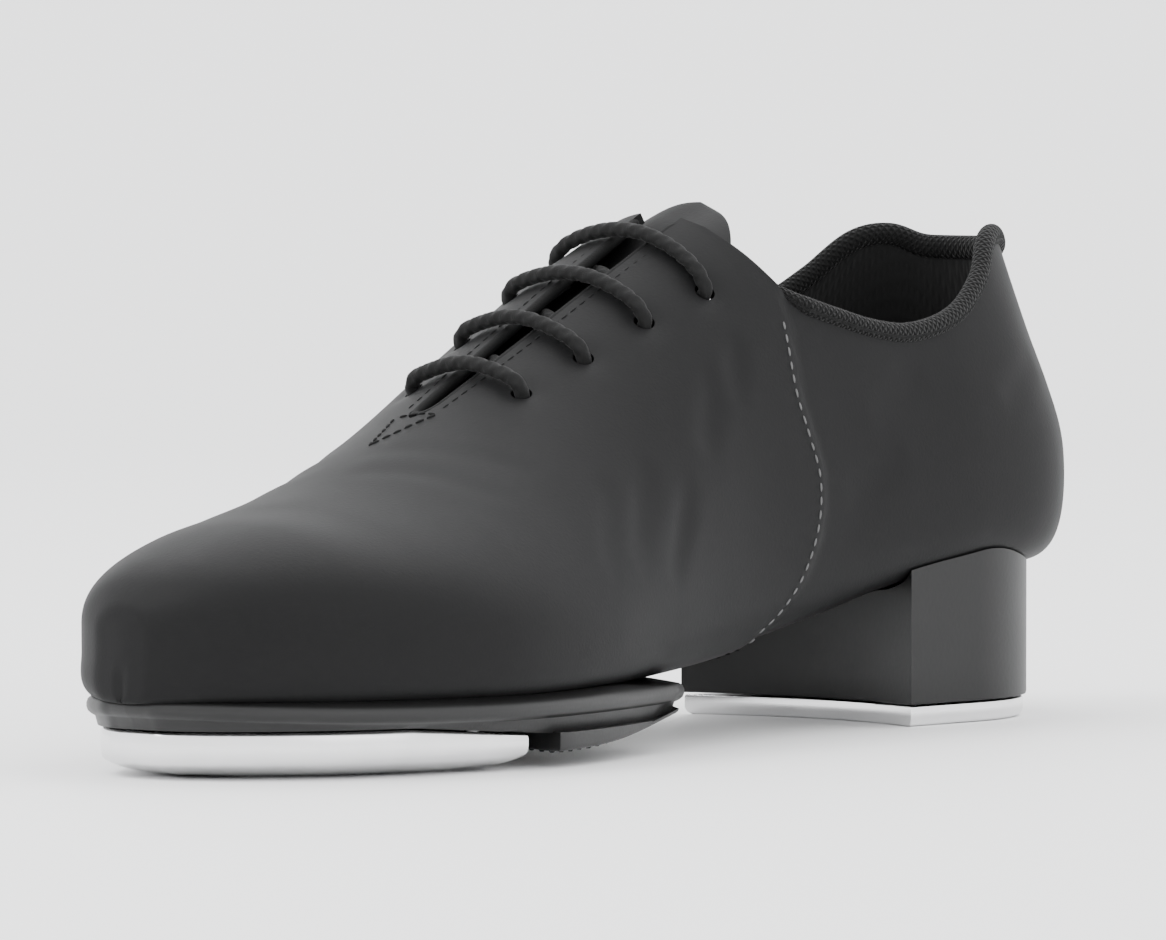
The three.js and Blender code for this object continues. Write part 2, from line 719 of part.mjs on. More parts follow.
// ---- Lace: bars over the throat, joined by a run along its middle ----
function laceSolid() {
  const over = laceRadius + gap;
  const bars = laceRowYs.map((y) => {
    const left = facingSpot(y, -1).point.x;
    const right = facingSpot(y, 1).point.x;
    const steps = 8;
    const points = Array.from({ length: steps + 1 }, (_, k) => {
      const x = left + ((right - left) * k) / steps;
      const spot = lastHeight(x, y);
      const slope = (lastHeight(x + 0.5, y) - lastHeight(x - 0.5, y));
      const slopeY = (lastHeight(x, y + 0.5) - lastHeight(x, y - 0.5));
      const normal = new THREE.Vector3(-slope, -slopeY, 1).normalize();
      return new THREE.Vector3(x, y, spot).add(normal.multiplyScalar(over + 0.25));
    });
    return bar(points, laceRadius, 8, 6);
  });
  const spine = laceRowYs.map(
    (y) => new THREE.Vector3(throatMiddle(y), y, lastHeight(throatMiddle(y), y) + over - 0.7),
  );
  return bars.reduce((all, one) => all.add(one), bar(spine, laceRadius, 6, 6));
}
const lace = laceSolid();

// ---- The shoe ----
const leather = { color: 0x2b2b2c, roughness: 0.55, metalness: 0 };
const cloth = { color: 0x101011, roughness: 0.95, metalness: 0 };
const rubber = { color: 0x151515, roughness: 0.6, metalness: 0 };
const tapMetal = { color: 0xd9dadb, roughness: 0.22, metalness: 1 };
const screwMetal = { color: 0xb4b5b6, roughness: 0.3, metalness: 1 };

const pieces = [
  ["upper", upper, leather],
  ["tongue", tongue, leather],
  ["collar_binding", binding, cloth],
  ["insole", insole, cloth],
  ["lace", lace, cloth],
  ["forefoot_sole", forefootSole, rubber],
  ["heel_block", heelBlock, rubber],
  ["toe_tap", toeTap, tapMetal],
  ["heel_tap", heelTap, tapMetal],
  ...toeScrews.map((at, k) => [`toe_screw_${k + 1}`, screw(at, toeScrewLift), screwMetal]),
  ...heelScrews.map((at, k) => [`heel_screw_${k + 1}`, screw(at, heelScrewLift), screwMetal]),
];

const shoe = new THREE.Group();
for (const [name, made, finish] of pieces) {
  const mesh = new THREE.Mesh(geometryOf(made), new THREE.MeshStandardMaterial(finish));
  mesh.name = name;
  shoe.add(mesh);
}
const box = new THREE.Box3().setFromObject(shoe);
const footprint = box.getCenter(new THREE.Vector3());
shoe.position.set(-footprint.x, -footprint.y, -box.min.z);

export default shoe;
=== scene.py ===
import math

import bmesh
import bpy
import numpy as np
from mathutils import Matrix, Vector


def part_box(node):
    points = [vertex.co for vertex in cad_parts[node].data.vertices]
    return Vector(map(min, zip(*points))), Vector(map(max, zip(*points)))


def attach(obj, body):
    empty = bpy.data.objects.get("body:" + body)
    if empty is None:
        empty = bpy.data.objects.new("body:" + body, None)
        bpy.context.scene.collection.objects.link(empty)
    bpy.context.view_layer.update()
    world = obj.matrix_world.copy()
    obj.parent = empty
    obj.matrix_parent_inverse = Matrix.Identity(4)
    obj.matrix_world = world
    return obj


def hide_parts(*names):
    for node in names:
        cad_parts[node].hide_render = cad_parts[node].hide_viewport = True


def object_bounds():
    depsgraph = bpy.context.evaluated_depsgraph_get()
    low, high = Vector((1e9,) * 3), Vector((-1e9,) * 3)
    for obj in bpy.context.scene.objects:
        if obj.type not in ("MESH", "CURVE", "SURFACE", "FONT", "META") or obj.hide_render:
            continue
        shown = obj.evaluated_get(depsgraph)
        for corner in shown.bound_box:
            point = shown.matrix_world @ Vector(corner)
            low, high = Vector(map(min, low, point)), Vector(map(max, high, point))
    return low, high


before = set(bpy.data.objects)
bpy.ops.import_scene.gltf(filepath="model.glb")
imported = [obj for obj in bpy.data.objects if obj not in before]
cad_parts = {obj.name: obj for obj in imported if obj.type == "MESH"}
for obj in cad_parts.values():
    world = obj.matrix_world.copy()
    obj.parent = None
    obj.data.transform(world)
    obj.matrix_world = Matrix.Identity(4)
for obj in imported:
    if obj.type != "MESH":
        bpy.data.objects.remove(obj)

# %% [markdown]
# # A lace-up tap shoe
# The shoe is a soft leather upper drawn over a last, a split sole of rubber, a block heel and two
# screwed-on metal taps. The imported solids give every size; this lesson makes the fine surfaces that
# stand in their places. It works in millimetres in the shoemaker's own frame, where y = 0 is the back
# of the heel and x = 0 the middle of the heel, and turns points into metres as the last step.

cad_low, cad_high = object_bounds()
MM = 0.001
HEEL_BACK = 10
HEEL_TAP_INSET = 0.6
tap_low, tap_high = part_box("heel_tap")
AXIS_X = (tap_low.x + tap_high.x) / 2
BACK_Y = tap_low.y - (HEEL_BACK + HEEL_TAP_INSET) * MM


def placed(points):
    """Points in the shoemaker's millimetres as points of the frame, in metres."""
    return np.asarray(points, float) * MM + (AXIS_X, BACK_Y, 0)


print("box of the solids, mm:", [round(v / MM, 1) for v in (*cad_low, *cad_high)])

# %% [markdown]
# ## The last
# A shoe takes its shape from a last, a solid foot-shaped form. A last could be sculpted by hand, but
# a table of cross-sections is easier to correct and gives the same shape each time. Each row says
# how far along the foot it is, how far the inner and the outer edge stand from the heel's middle
# line, how high the underside and the widest line are, how high the crown is, and how square the
# section is above and below. A smooth curve through the rows gives any section in between.

# %% The measures of the last
SHOE_LENGTH = 232
BALL_WIDTH = 82.5
HEEL_SEAT = 25
FOREFOOT_STACK = 11
TOE_SPRING = 1.5
INSTEP_HEIGHT = 56
WALL = 1.8
LAST_ROWS = np.array([
    # along, inner, outer, lift, spring, girth, crown, above, below
    [0, 0, 0, 1, 0, 20, 1, 1.55, 4.5],
    [0.0015, 0.05, 0.05, 1, 0, 20, 1, 1.55, 4.5],
    [0.0065, 0.103, 0.103, 1, 0, 20, 1, 1.55, 4.5],
    [0.022, 0.187, 0.187, 1, 0, 20, 1, 1.55, 4.5],
    [0.052, 0.264, 0.264, 1, 0, 20, 1, 1.55, 4.5],
    [0.095, 0.315, 0.315, 0.99, 0, 20, 1, 1.55, 4.5],
    [0.164, 0.34, 0.345, 0.95, 0, 19.5, 1.02, 1.55, 4.3],
    [0.25, 0.342, 0.354, 0.73, 0, 19.7, 1.03, 1.65, 4.2],
    [0.345, 0.348, 0.378, 0.36, 0, 18.5, 0.985, 2, 3.8],
    [0.444, 0.38, 0.424, 0.1, 0, 15.8, 0.9, 2.15, 3.8],
    [0.552, 0.466, 0.461, 0, 0, 13, 0.745, 1.8, 4.2],
    [0.655, 0.57, 0.446, 0, 0, 10.5, 0.57, 1.65, 5],
    [0.75, 0.62, 0.367, 0, 0, 10.5, 0.415, 1.8, 6],
    [0.828, 0.611, 0.253, 0, 0.1, 11, 0.325, 2.05, 6],
    [0.892, 0.563, 0.134, 0, 0.3, 11, 0.278, 2.2, 6],
    [0.944, 0.474, 0.036, 0, 0.6, 11, 0.213, 2.2, 6],
    [0.978, 0.38, -0.05, 0, 0.85, 11, 0.145, 2.2, 6],
    [0.996, 0.295, -0.132, 0, 1, 10, 0.085, 2.2, 6],
    [0.999, 0.258, -0.176, 0, 1, 10, 0.043, 2.2, 6],
    [1, 0.218, -0.218, 0, 1, 10, 0, 2.2, 6],
])
# How far the back of the shoe stands forward, as (height above the heel seat, distance).
HEEL_CURVE = [
    (-4, 3.8), (5, 1.2), (15, 0), (23, 0.9), (31, 3.8), (41, 8), (51, 10.6), (60, 11.4), (80, 11.6),
]
HEEL_CURVE_REACH = 0.52  # share of the length where it has faded out


def eased(start, rise, into, out, t):
    """A cubic from a start, over a rise, that enters and leaves with the given slopes."""
    return start + t * (into + t * (3 * rise - 2 * into - out + t * (into + out - 2 * rise)))


def between_rows(index):
    """The last's numbers at row indexes that may lie between two rows."""
    index = np.asarray(index, float)
    at = np.clip(np.floor(index).astype(int), 0, len(LAST_ROWS) - 2)
    t = (index - at)[..., None]
    before, here = LAST_ROWS[np.maximum(at - 1, 0)], LAST_ROWS[at]
    after, beyond = LAST_ROWS[at + 1], LAST_ROWS[np.minimum(at + 2, len(LAST_ROWS) - 1)]
    into, out, rise = (after - before) / 2, (beyond - here) / 2, after - here
    return eased(here, rise, into, out, t)


def along(points, position):
    """A smooth curve through (position, value) points."""
    x, v = np.array(points, float).T
    count = len(x)
    low, high = np.maximum(np.arange(count) - 1, 0), np.minimum(np.arange(count) + 1, count - 1)
    slope = (v[high] - v[low]) / (x[high] - x[low])
    q = np.clip(position, x[0], x[-1])
    k = np.clip(np.searchsorted(x, q, side="right") - 1, 0, count - 2)
    span = x[k + 1] - x[k]
    t, rise, into, out = (q - x[k]) / span, v[k + 1] - v[k], slope[k] * span, slope[k + 1] * span
    return eased(v[k], rise, into, out, t)


class Section:
    """The measures of the last's cross-section at one row index, or at many."""

    def __init__(self, index):
        row = np.moveaxis(between_rows(index), -1, 0)
        share, inner, outer, lift, spring, girth, crown, self.above, self.below = row
        self.y = share * SHOE_LENGTH
        self.middle = (outer - inner) / 2 * BALL_WIDTH
        self.half = np.maximum(0, (outer + inner) / 2) * BALL_WIDTH
        self.underside = FOREFOOT_STACK + (HEEL_SEAT - FOREFOOT_STACK) * lift + TOE_SPRING * spring
        self.widest = self.underside + girth
        self.depth = girth
        self.crown = np.maximum(crown * INSTEP_HEIGHT, 1e-6)


ROW_LIMIT = len(LAST_ROWS) - 1
FINE_INDEX = np.linspace(0, ROW_LIMIT, 6000)
FINE_Y = Section(FINE_INDEX).y


def index_at(y):
    return np.interp(y, FINE_Y, FINE_INDEX)


def lean(y, z):
    """How far the back of the shoe stands forward at a height, fading out towards the instep."""
    fade = np.maximum(0, 1 - y / (HEEL_CURVE_REACH * SHOE_LENGTH)) ** 2
    return along(HEEL_CURVE, z - HEEL_SEAT) * fade


print("ball of the foot, mm:", round(float(Section(index_at(150)).half) * 2, 1), "wide")

# %% [markdown]
# ## Points on the last
# Everything that touches the leather needs a point on its surface, and often the direction out of
# it. Three questions cover them all: the point at an angle of a section, the point above a place in
# plan, and the point of the flank at a given height.

# %% Finding points on the last
def last_point(index, angle):
    """Angle 0 is the outer side, a quarter turn the top, half a turn the inner side."""
    s = Section(index)
    side, rise = np.cos(angle), np.sin(angle)
    power = 2 / np.where(rise >= 0, s.above, s.below)
    x = s.middle + s.half * np.sign(side) * np.abs(side) ** power
    z = s.widest + np.where(rise >= 0, s.crown, s.depth) * np.sign(rise) * np.abs(rise) ** power
    return np.stack([x, s.y + lean(s.y, z), z], -1)


def last_height(x, y):
    s = Section(index_at(y))
    share = np.clip(np.abs(x - s.middle) / s.half, 0, 1)
    return s.widest + s.crown * (1 - share ** s.above) ** (1 / s.above)


def last_underside(x, y):
    s = Section(index_at(y))
    share = np.clip(np.abs(x - s.middle) / np.maximum(s.half, 1e-6), 0, 1)
    return s.widest - s.depth * (1 - share ** s.below) ** (1 / s.below)


def flank(y, z, side):
    """The point of the inner (-1) or outer (1) flank at a distance from the heel and a height."""
    row_y = np.asarray(y, float)
    for _ in range(12):
        row_y = np.maximum(y - lean(row_y, z), 0)
    s = Section(index_at(row_y))
    up = np.clip((z - s.widest) / s.crown, 0, 1)
    down = np.clip((s.widest - z) / s.depth, 0, 1)
    above, below = (1 - up ** s.above) ** (1 / s.above), (1 - down ** s.below) ** (1 / s.below)
    reach = np.where(z >= s.widest, above, below)
    return np.stack([s.middle + side * s.half * reach, row_y + lean(row_y, z), z + 0 * row_y], -1)


def unit(vectors):
    return vectors / np.maximum(np.linalg.norm(vectors, axis=-1, keepdims=True), 1e-9)


def over(x, y):
    """Points of the upper surface above places in plan, and the directions out of it."""
    x, y = np.broadcast_arrays(np.asarray(x, float), np.asarray(y, float))
    slope_x = last_height(x + 0.5, y) - last_height(x - 0.5, y)
    slope_y = last_height(x, y + 0.5) - last_height(x, y - 0.5)
    out = unit(np.stack([-slope_x, -slope_y, np.ones_like(x)], -1))
    return np.stack([x, y, last_height(x, y)], -1), out


def underside_at(y):
    return Section(index_at(np.minimum(y, SHOE_LENGTH - 1))).underside


# %% [markdown]
# ## Making meshes
# Three small makers serve the whole shoe: a grid of points becomes a sheet of quads, rings of points
# become a closed solid, and a route becomes a round cord. Edges sharper than an angle are marked, so
# that soft forms shade smoothly and hard rims stay crisp.

# %% Makers of sheets, plates and cords
def linked(name, data):
    """A mesh, lamp or camera as an object of the scene."""
    piece = bpy.data.objects.new(name, data)
    bpy.context.scene.collection.objects.link(piece)
    return piece


def built(name, made):
    """An object from a finished bmesh."""
    mesh = bpy.data.meshes.new(name)
    made.to_mesh(mesh)
    made.free()
    return linked(name, mesh)


def shaded(piece, sharp_deg):
    """Smooth shading, with a crease wherever the surface turns by more than an angle."""
    piece.data.shade_smooth()
    piece.data.set_sharp_from_angle(angle=math.radians(sharp_deg))
    return piece


def applied(piece):
    """The piece with its modifiers turned into plain mesh."""
    graph = bpy.context.evaluated_depsgraph_get()
    mesh = bpy.data.meshes.new_from_object(piece.evaluated_get(graph))
    piece.modifiers.clear()
    piece.data = mesh
    return piece


def thicken(piece, thickness):
    """Thickens a sheet inwards by millimetres; the modifier is still to be applied."""
    thick = piece.modifiers.new("thickness", "SOLIDIFY")
    thick.thickness = thickness * MM
    thick.offset = -1
    return thick


def mesh_piece(name, points, faces, uvs=None, sharp_deg=40):
    """A mesh object in the frame from millimetre points; doubles are merged, faces point outwards."""
    mesh = bpy.data.meshes.new(name)
    mesh.from_pydata(placed(points).tolist(), [], faces)
    if uvs is not None:
        layer = mesh.uv_layers.new(name="UVMap")
        loops = np.empty(len(mesh.loops), int)
        mesh.loops.foreach_get("vertex_index", loops)
        layer.data.foreach_set("uv", np.asarray(uvs, np.float32)[loops].ravel())
    made = bmesh.new()
    made.from_mesh(mesh)
    bmesh.ops.remove_doubles(made, verts=made.verts, dist=2e-6)
    bmesh.ops.dissolve_degenerate(made, edges=made.edges, dist=1e-7)
    bmesh.ops.recalc_face_normals(made, faces=made.faces)
    made.to_mesh(mesh)
    made.free()
    return shaded(linked(name, mesh), sharp_deg)


def grid_faces(rows, columns, closed=False):
    """Quads between neighbouring points of a grid; closed joins the last column to the first."""
    span = columns if closed else columns - 1
    return [
        (r * columns + c, r * columns + (c + 1) % columns,
         (r + 1) * columns + (c + 1) % columns, (r + 1) * columns + c)
        for r in range(rows - 1) for c in range(span)
    ]


def inward(outline, centre, inset):
    """The outline drawn in towards its centre by a distance."""
    out = outline - centre
    reach = np.linalg.norm(out, axis=1, keepdims=True)
    return centre + out / reach * np.maximum(0, reach - inset)


def rings_piece(name, loops, sharp_deg=40):
    """A closed solid through equal loops of points."""
    faces = grid_faces(len(loops), len(loops[0]), closed=True)
    return mesh_piece(name, np.concatenate(loops), faces, sharp_deg=sharp_deg)


def plate(name, outline, centre, rings, sharp_deg=40):
    """A solid over a star-shaped outline; each ring is (how far inside, height at x and y)."""
    loops = []
    for inset, height in rings:
        spot = inward(outline, centre, inset)
        loops.append(np.column_stack([spot, height(spot[:, 0], spot[:, 1]) + 0 * spot[:, 0]]))
    return rings_piece(name, loops, sharp_deg)


def lengths_along(route):
    """How far along a route each of its points lies."""
    return np.concatenate([[0], np.cumsum(np.linalg.norm(np.diff(route, axis=0), axis=1))])


def sampled(table, lengths, stations):
    """A table of triples, given at some lengths, read at other stations."""
    return np.column_stack([np.interp(stations, lengths, table[:, k]) for k in range(3)])


def evenly(route, step):
    """A route's points spaced evenly, after rounding its corners with a smooth curve."""
    route = np.asarray(route, float)
    padded = np.vstack([2 * route[0] - route[1], route, 2 * route[-1] - route[-2]])
    t = np.linspace(0, 1, 24, endpoint=False)[:, None]
    parts = []
    for a, b, c, d in zip(padded, padded[1:], padded[2:], padded[3:]):
        square, cube = 2 * a - 5 * b + 4 * c - d, 3 * b - a - 3 * c + d
        parts.append(0.5 * (2 * b + (c - a) * t + square * t ** 2 + cube * t ** 3))
    fine = np.vstack([*parts, route[-1:]])
    length = lengths_along(fine)
    stations = np.linspace(0, length[-1], max(2, round(length[-1] / step)) + 1)
    return sampled(fine, length, stations), stations


def cord(name, route, radius, sides=14, step=0.8, relief=None, squash=None, up=(0, 0, 1)):
    """A round cord along a route.

    relief(length, turn) swells it; squash is its (across, along up) shape.
    """
    centres, stations = evenly(route, step)
    tangents = unit(np.gradient(centres, axis=0))
    side = unit(np.cross(tangents[0], up))
    turns = np.linspace(0, 2 * math.pi, sides, endpoint=False)
    wide, tall = squash or (1, 1)
    rings = []
    for centre, tangent, station in zip(centres, tangents, stations):
        side = unit(side - tangent * (side @ tangent))
        lift = np.cross(side, tangent)
        swell = radius(station / stations[-1]) if callable(radius) else radius
        swell = swell + (relief(station, turns) if relief else 0 * turns)
        rings.append(centre + (swell * np.cos(turns) * wide)[:, None] * side
                     + (swell * np.sin(turns) * tall)[:, None] * lift)
    rings = [np.repeat(centres[:1], sides, 0), *rings, np.repeat(centres[-1:], sides, 0)]
    lengths = np.concatenate([[0], stations, [stations[-1]]])
    uvs = np.column_stack([np.repeat(lengths, sides), np.tile(turns / (2 * math.pi), len(rings))])
    return mesh_piece(name, np.concatenate(rings), grid_faces(len(rings), sides, closed=True), uvs, 60)


# %% [markdown]
# ## Finishes
# Every surface gets a material made from nodes: a Principled shader whose colour, roughness and bump
# come from noise at the real grain's size. Patterns read Object coordinates, in metres, so that they
# keep their scale and stay where they are when the shoe moves. What is the same all over a surface
# is set on the shader itself.

# %% Helpers for finishes
def greys(*levels):
    return [(level, level, level) for level in levels]


def finish_of(name, colours, roughness, grain, bump, specular=0.5, metallic=0.0, patches=40, **settings):
    """A finish: two colours that drift in patches, and a fine grain of a given scale and height."""
    material = bpy.data.materials.new(name)
    material.use_nodes = True
    tree = material.node_tree
    shader = tree.nodes["Principled BSDF"]
    shader.inputs["Metallic"].default_value = metallic
    shader.inputs["Specular IOR Level"].default_value = specular
    for socket, value in settings.items():
        shader.inputs[socket.replace("_", " ")].default_value = value
    where = tree.nodes.new("ShaderNodeTexCoord")
    drift = tree.nodes.new("ShaderNodeTexNoise")
    drift.inputs["Scale"].default_value = patches
    drift.inputs["Detail"].default_value = 4
    mix = tree.nodes.new("ShaderNodeMix")
    mix.data_type = "RGBA"
    for socket, colour in zip(("A", "B"), colours):
        [s for s in mix.inputs if s.name == socket and s.type == "RGBA"][0].default_value = (*colour, 1)
    rough = tree.nodes.new("ShaderNodeMapRange")
    rough.inputs["To Min"].default_value, rough.inputs["To Max"].default_value = roughness
    fine = tree.nodes.new("ShaderNodeTexNoise")
    fine.inputs["Scale"].default_value = grain
    fine.inputs["Detail"].default_value = 3
    relief = tree.nodes.new("ShaderNodeBump")
    relief.inputs["Strength"].default_value = 1
    relief.inputs["Distance"].default_value = bump * MM
    link = tree.links.new
    link(where.outputs["Object"], drift.inputs["Vector"])
    link(where.outputs["Object"], fine.inputs["Vector"])
    link(drift.outputs["Fac"], mix.inputs["Factor"])
    link([s for s in mix.outputs if s.type == "RGBA"][0], shader.inputs["Base Color"])
    link(drift.outputs["Fac"], rough.inputs["Value"])
    link(rough.outputs["Result"], shader.inputs["Roughness"])
    link(fine.outputs["Fac"], relief.inputs["Height"])
    link(relief.outputs["Normal"], shader.inputs["Normal"])
    return material


def with_pores(material, scale, depth):
    """Adds the creased cells of a hide under the fine grain."""
    tree = material.node_tree
    where = tree.nodes["Texture Coordinate"]
    cells = tree.nodes.new("ShaderNodeTexVoronoi")
    cells.feature = "DISTANCE_TO_EDGE"
    cells.inputs["Scale"].default_value = scale
    relief = tree.nodes.new("ShaderNodeBump")
    relief.inputs["Distance"].default_value = depth * MM
    relief.inputs["Strength"].default_value = 0.6
    tree.links.new(where.outputs["Object"], cells.inputs["Vector"])
    tree.links.new(cells.outputs["Distance"], relief.inputs["Height"])
    tree.links.new(relief.outputs["Normal"], tree.nodes["Bump"].inputs["Normal"])
    return material


def with_weave(material, along_scale, around_scale, depth, coordinate="UV"):
    """Adds two crossing waves, which read as a knit or a braid, to the bump."""
    tree = material.node_tree
    where = tree.nodes["Texture Coordinate"]
    split = tree.nodes.new("ShaderNodeSeparateXYZ")
    tree.links.new(where.outputs[coordinate], split.inputs["Vector"])

    def math_node(operation, first, second):
        node = tree.nodes.new("ShaderNodeMath")
        node.operation = operation
        for socket, value in zip(node.inputs, (first, second)):
            if isinstance(value, (int, float)):
                socket.default_value = value
            elif value is not None:
                tree.links.new(value, socket)
        return node.outputs["Value"]

    a = math_node("MULTIPLY", split.outputs["X"], along_scale)
    b = math_node("MULTIPLY", split.outputs["Y"], around_scale)
    first = math_node("SINE", math_node("ADD", a, b), None)
    second = math_node("SINE", math_node("SUBTRACT", a, b), None)
    height = math_node("MAXIMUM", first, second)
    relief = tree.nodes.new("ShaderNodeBump")
    relief.inputs["Distance"].default_value = depth * MM
    tree.links.new(height, relief.inputs["Height"])
    tree.links.new(relief.outputs["Normal"], tree.nodes["Bump"].inputs["Normal"])
    return material


# %% [markdown]
# The upper is a smooth, matt charcoal hide: a soft broad shine, faint patches where it was drawn
# over the last, and a fine grain that only shows close up. The lining, binding and lace are cloth,
# the sole and heel are rubber with a slight gloss, and the taps are polished metal with fine marks.

# %% The finishes
charcoal = [(0.0055, 0.0055, 0.0057), (0.0082, 0.0082, 0.0084)]
soft_charcoal = [(0.0095, 0.0095, 0.0097), (0.0135, 0.0135, 0.0138)]
black = greys(0.003, 0.006)
leather = with_pores(finish_of("charcoal_leather", charcoal, (0.48, 0.6), 2600, 0.02, 0.1), 900, 0.03)
tongue_hide = with_pores(finish_of("tongue_hide", soft_charcoal, (0.52, 0.66), 2200, 0.03, 0.14), 800, 0.04)
cut_edge = finish_of("cut_leather_edge", black, (0.6, 0.8), 3000, 0.05, 0.12)
lining = with_weave(
    finish_of("lining_cloth", greys(0.008, 0.013), (0.85, 0.95), 1800, 0.05,
              0.1, Sheen_Weight=0.1, Sheen_Roughness=0.5),
    4200, 4200, 0.06, "Object")
binding_knit = with_weave(
    finish_of("binding_knit", black, (0.8, 0.92), 2400, 0.06,
              0.12, Sheen_Weight=0.06, Sheen_Roughness=0.45),
    5.2, 50, 0.14)
lace_braid = finish_of("lace_braid", greys(0.003, 0.007), (0.66, 0.84), 4200, 0.06,
                       0.18, Sheen_Weight=0.06, Sheen_Roughness=0.4)
rubber = finish_of("sole_rubber", greys(0.007, 0.012), (0.36, 0.5), 1500, 0.02, 0.32)
heel_stack = finish_of("heel_rubber", greys(0.005, 0.009), (0.38, 0.52), 1100, 0.02, 0.24)
tap_metal = finish_of("tap_metal", [(0.70, 0.70, 0.705), (0.84, 0.84, 0.845)], (0.16, 0.3), 700, 0.006,
                      metallic=1.0, patches=120)
screw_steel = finish_of("screw_steel", [(0.55, 0.55, 0.56), (0.68, 0.68, 0.69)], (0.2, 0.34), 1200, 0.008,
                        metallic=1.0, patches=300)
seam_thread = finish_of("seam_thread", greys(0.075, 0.13), (0.6, 0.75), 6000, 0.03, 0.2)
dark_thread = finish_of("dark_thread", black, (0.6, 0.75), 6000, 0.03, 0.15)


def dress(piece, slot, *materials):
    """Gives a piece its materials and lets it ride with the shoe. The slot is not used."""
    for material in materials:
        piece.data.materials.append(material)
    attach(piece, "root")
    return piece


print("finishes:", len(bpy.data.materials))

# %% [markdown]
# ## The upper
# The real upper is leather and lining together, less than two millimetres thick, drawn over the last
# and cut away at the collar and the throat. A solid last with pieces cut out of it would leave ragged
# triangles along each cut. Here every cross-section starts at the cut edge on the inner side, runs
# down under the foot and up to the cut edge on the outer side, so that the quads follow the topline
# and the throat, and a Solidify modifier gives the wall.

# %% Where the leather ends
# The topline, as (share of the length, height above the heel seat).
TOPLINE = [
    (-0.05, 55.4), (0.0547, 55.8), (0.08, 58), (0.105, 56.9), (0.134, 51), (0.178, 45), (0.231, 42.2),
    (0.27, 42.8), (0.303, 44.6), (0.348, 47.9), (0.368, 51.4), (0.3815, 56.6), (0.4, 68),
]
BINDING_END = 0.352  # share of the length where the binding gives way to the folded edge
BINDING_TUCK = 1.4  # how far the leather ends below the middle of the binding
THROAT_BASE, THROAT_TOP, THROAT_SHIFT = 0.645, 0.38, 0.03
THROAT_HALF_BASE, THROAT_HALF_TOP = 2.2, 4.5
THROAT_REACH = 0.3  # share of the length behind which only the topline cuts the leather


def topline_at(y):
    return HEEL_SEAT + along(TOPLINE, y / SHOE_LENGTH)


def throat_share(y):
    return (y / SHOE_LENGTH - THROAT_TOP) / (THROAT_BASE - THROAT_TOP)


def throat_middle(y):
    return -THROAT_SHIFT * BALL_WIDTH * np.minimum(throat_share(y), 1)


def throat_half(y):
    """Half the throat's width: it narrows towards its base, and closes in a half round."""
    beyond = np.maximum(0, y - THROAT_BASE * SHOE_LENGTH)
    taper = THROAT_HALF_TOP + (THROAT_HALF_BASE - THROAT_HALF_TOP) * np.minimum(throat_share(y), 1)
    return np.sqrt(np.maximum(0, taper ** 2 - beyond ** 2))


def smooth_step(low, high, value):
    t = np.clip((value - low) / (high - low), 0, 1)
    return t * t * (3 - 2 * t)


def topline_height(row_y, lower):
    """Height of the topline over the flank of a section, which leans forward with its height."""
    z = topline_at(row_y)
    for _ in range(14):
        z = topline_at(row_y + lean(row_y, z)) - lower
    return z


def cut_angles(index):
    """The angles of a section's outer and inner cut edges."""
    s = Section(index)
    fading = smooth_step(BINDING_END * SHOE_LENGTH, (BINDING_END + 0.02) * SHOE_LENGTH, s.y)
    tucked = BINDING_TUCK * (1 - fading)
    share = np.clip((topline_height(s.y, tucked) - s.widest) / s.crown, 0, 1)
    by_topline = np.arcsin(share ** (s.above / 2))
    closed = smooth_step(THROAT_BASE * SHOE_LENGTH + 4, THROAT_BASE * SHOE_LENGTH + 40, s.y)
    edges = []
    for side in (1, -1):
        edge = (throat_middle(s.y) + side * throat_half(s.y) - s.middle) / np.maximum(s.half, 1e-6)
        edge = np.clip(edge * (1 - closed), -1, 1)
        edges.append(np.arccos(np.sign(edge) * np.abs(edge) ** (s.above / 2)))
    if s.y < THROAT_REACH * SHOE_LENGTH:
        return by_topline, math.pi - by_topline
    if share >= 1:
        return edges
    return min(edges[0], by_topline), max(edges[1], math.pi - by_topline)


# %% [markdown]
# Creases are pressed in where a dancer's foot bends the leather: soft troughs across the
# vamp, beside the lace holes and at the quarters, each a line on the surface with a depth and a
# width. The front panel also lies over the quarters, which lifts it by half a millimetre.

# %% Seams, creases and stretch in the leather
# The seam in front of the quarters, as (height, distance from the heel).
SEAM_LINE = [(14, 97), (17, 95.5), (21, 91), (27, 86), (34, 82.6), (42, 81.6), (49, 83.3), (56, 84.8),
             (64, 84.2), (73, 82.6), (80, 80.4)]
HOLES_FROM, HOLES_TO, LACE_ROWS = 0.598, 0.4224, 4
FACING_INSET_BASE, FACING_INSET_TOP = 9.4, 12.4
LACE_YS = np.linspace(HOLES_FROM, HOLES_TO, LACE_ROWS) * SHOE_LENGTH
# Each crease: its two ends, as (distance from the heel, height, side), its depth and its width.
FLANK_CREASES = [
    ((118, 44, -1), (131, 27, -1), 0.5, 3.2),
    ((127, 47, -1), (142, 30, -1), 0.45, 3.4),
    ((138, 44, -1), (152, 29, -1), 0.32, 3.2),
    ((104, 60, -1), (114, 47, -1), 0.5, 3.4),
    ((96, 66, -1), (103, 55, -1), 0.4, 3.0),
    ((60, 46, -1), (76, 38, -1), 0.25, 5),
    ((52, 58, -1), (68, 52, -1), 0.22, 5),
    ((20, 60, -1), (34, 54, -1), 0.3, 4.0),
    ((116, 42, 1), (130, 27, 1), 0.5, 3.4),
    ((128, 42, 1), (141, 27, 1), 0.4, 3.2),
    ((103, 58, 1), (114, 46, 1), 0.45, 3.4),
    ((60, 46, 1), (78, 38, 1), 0.25, 5),
    ((48, 56, 1), (66, 50, 1), 0.22, 5),
    ((22, 58, 1), (36, 52, 1), 0.3, 4.0),
]
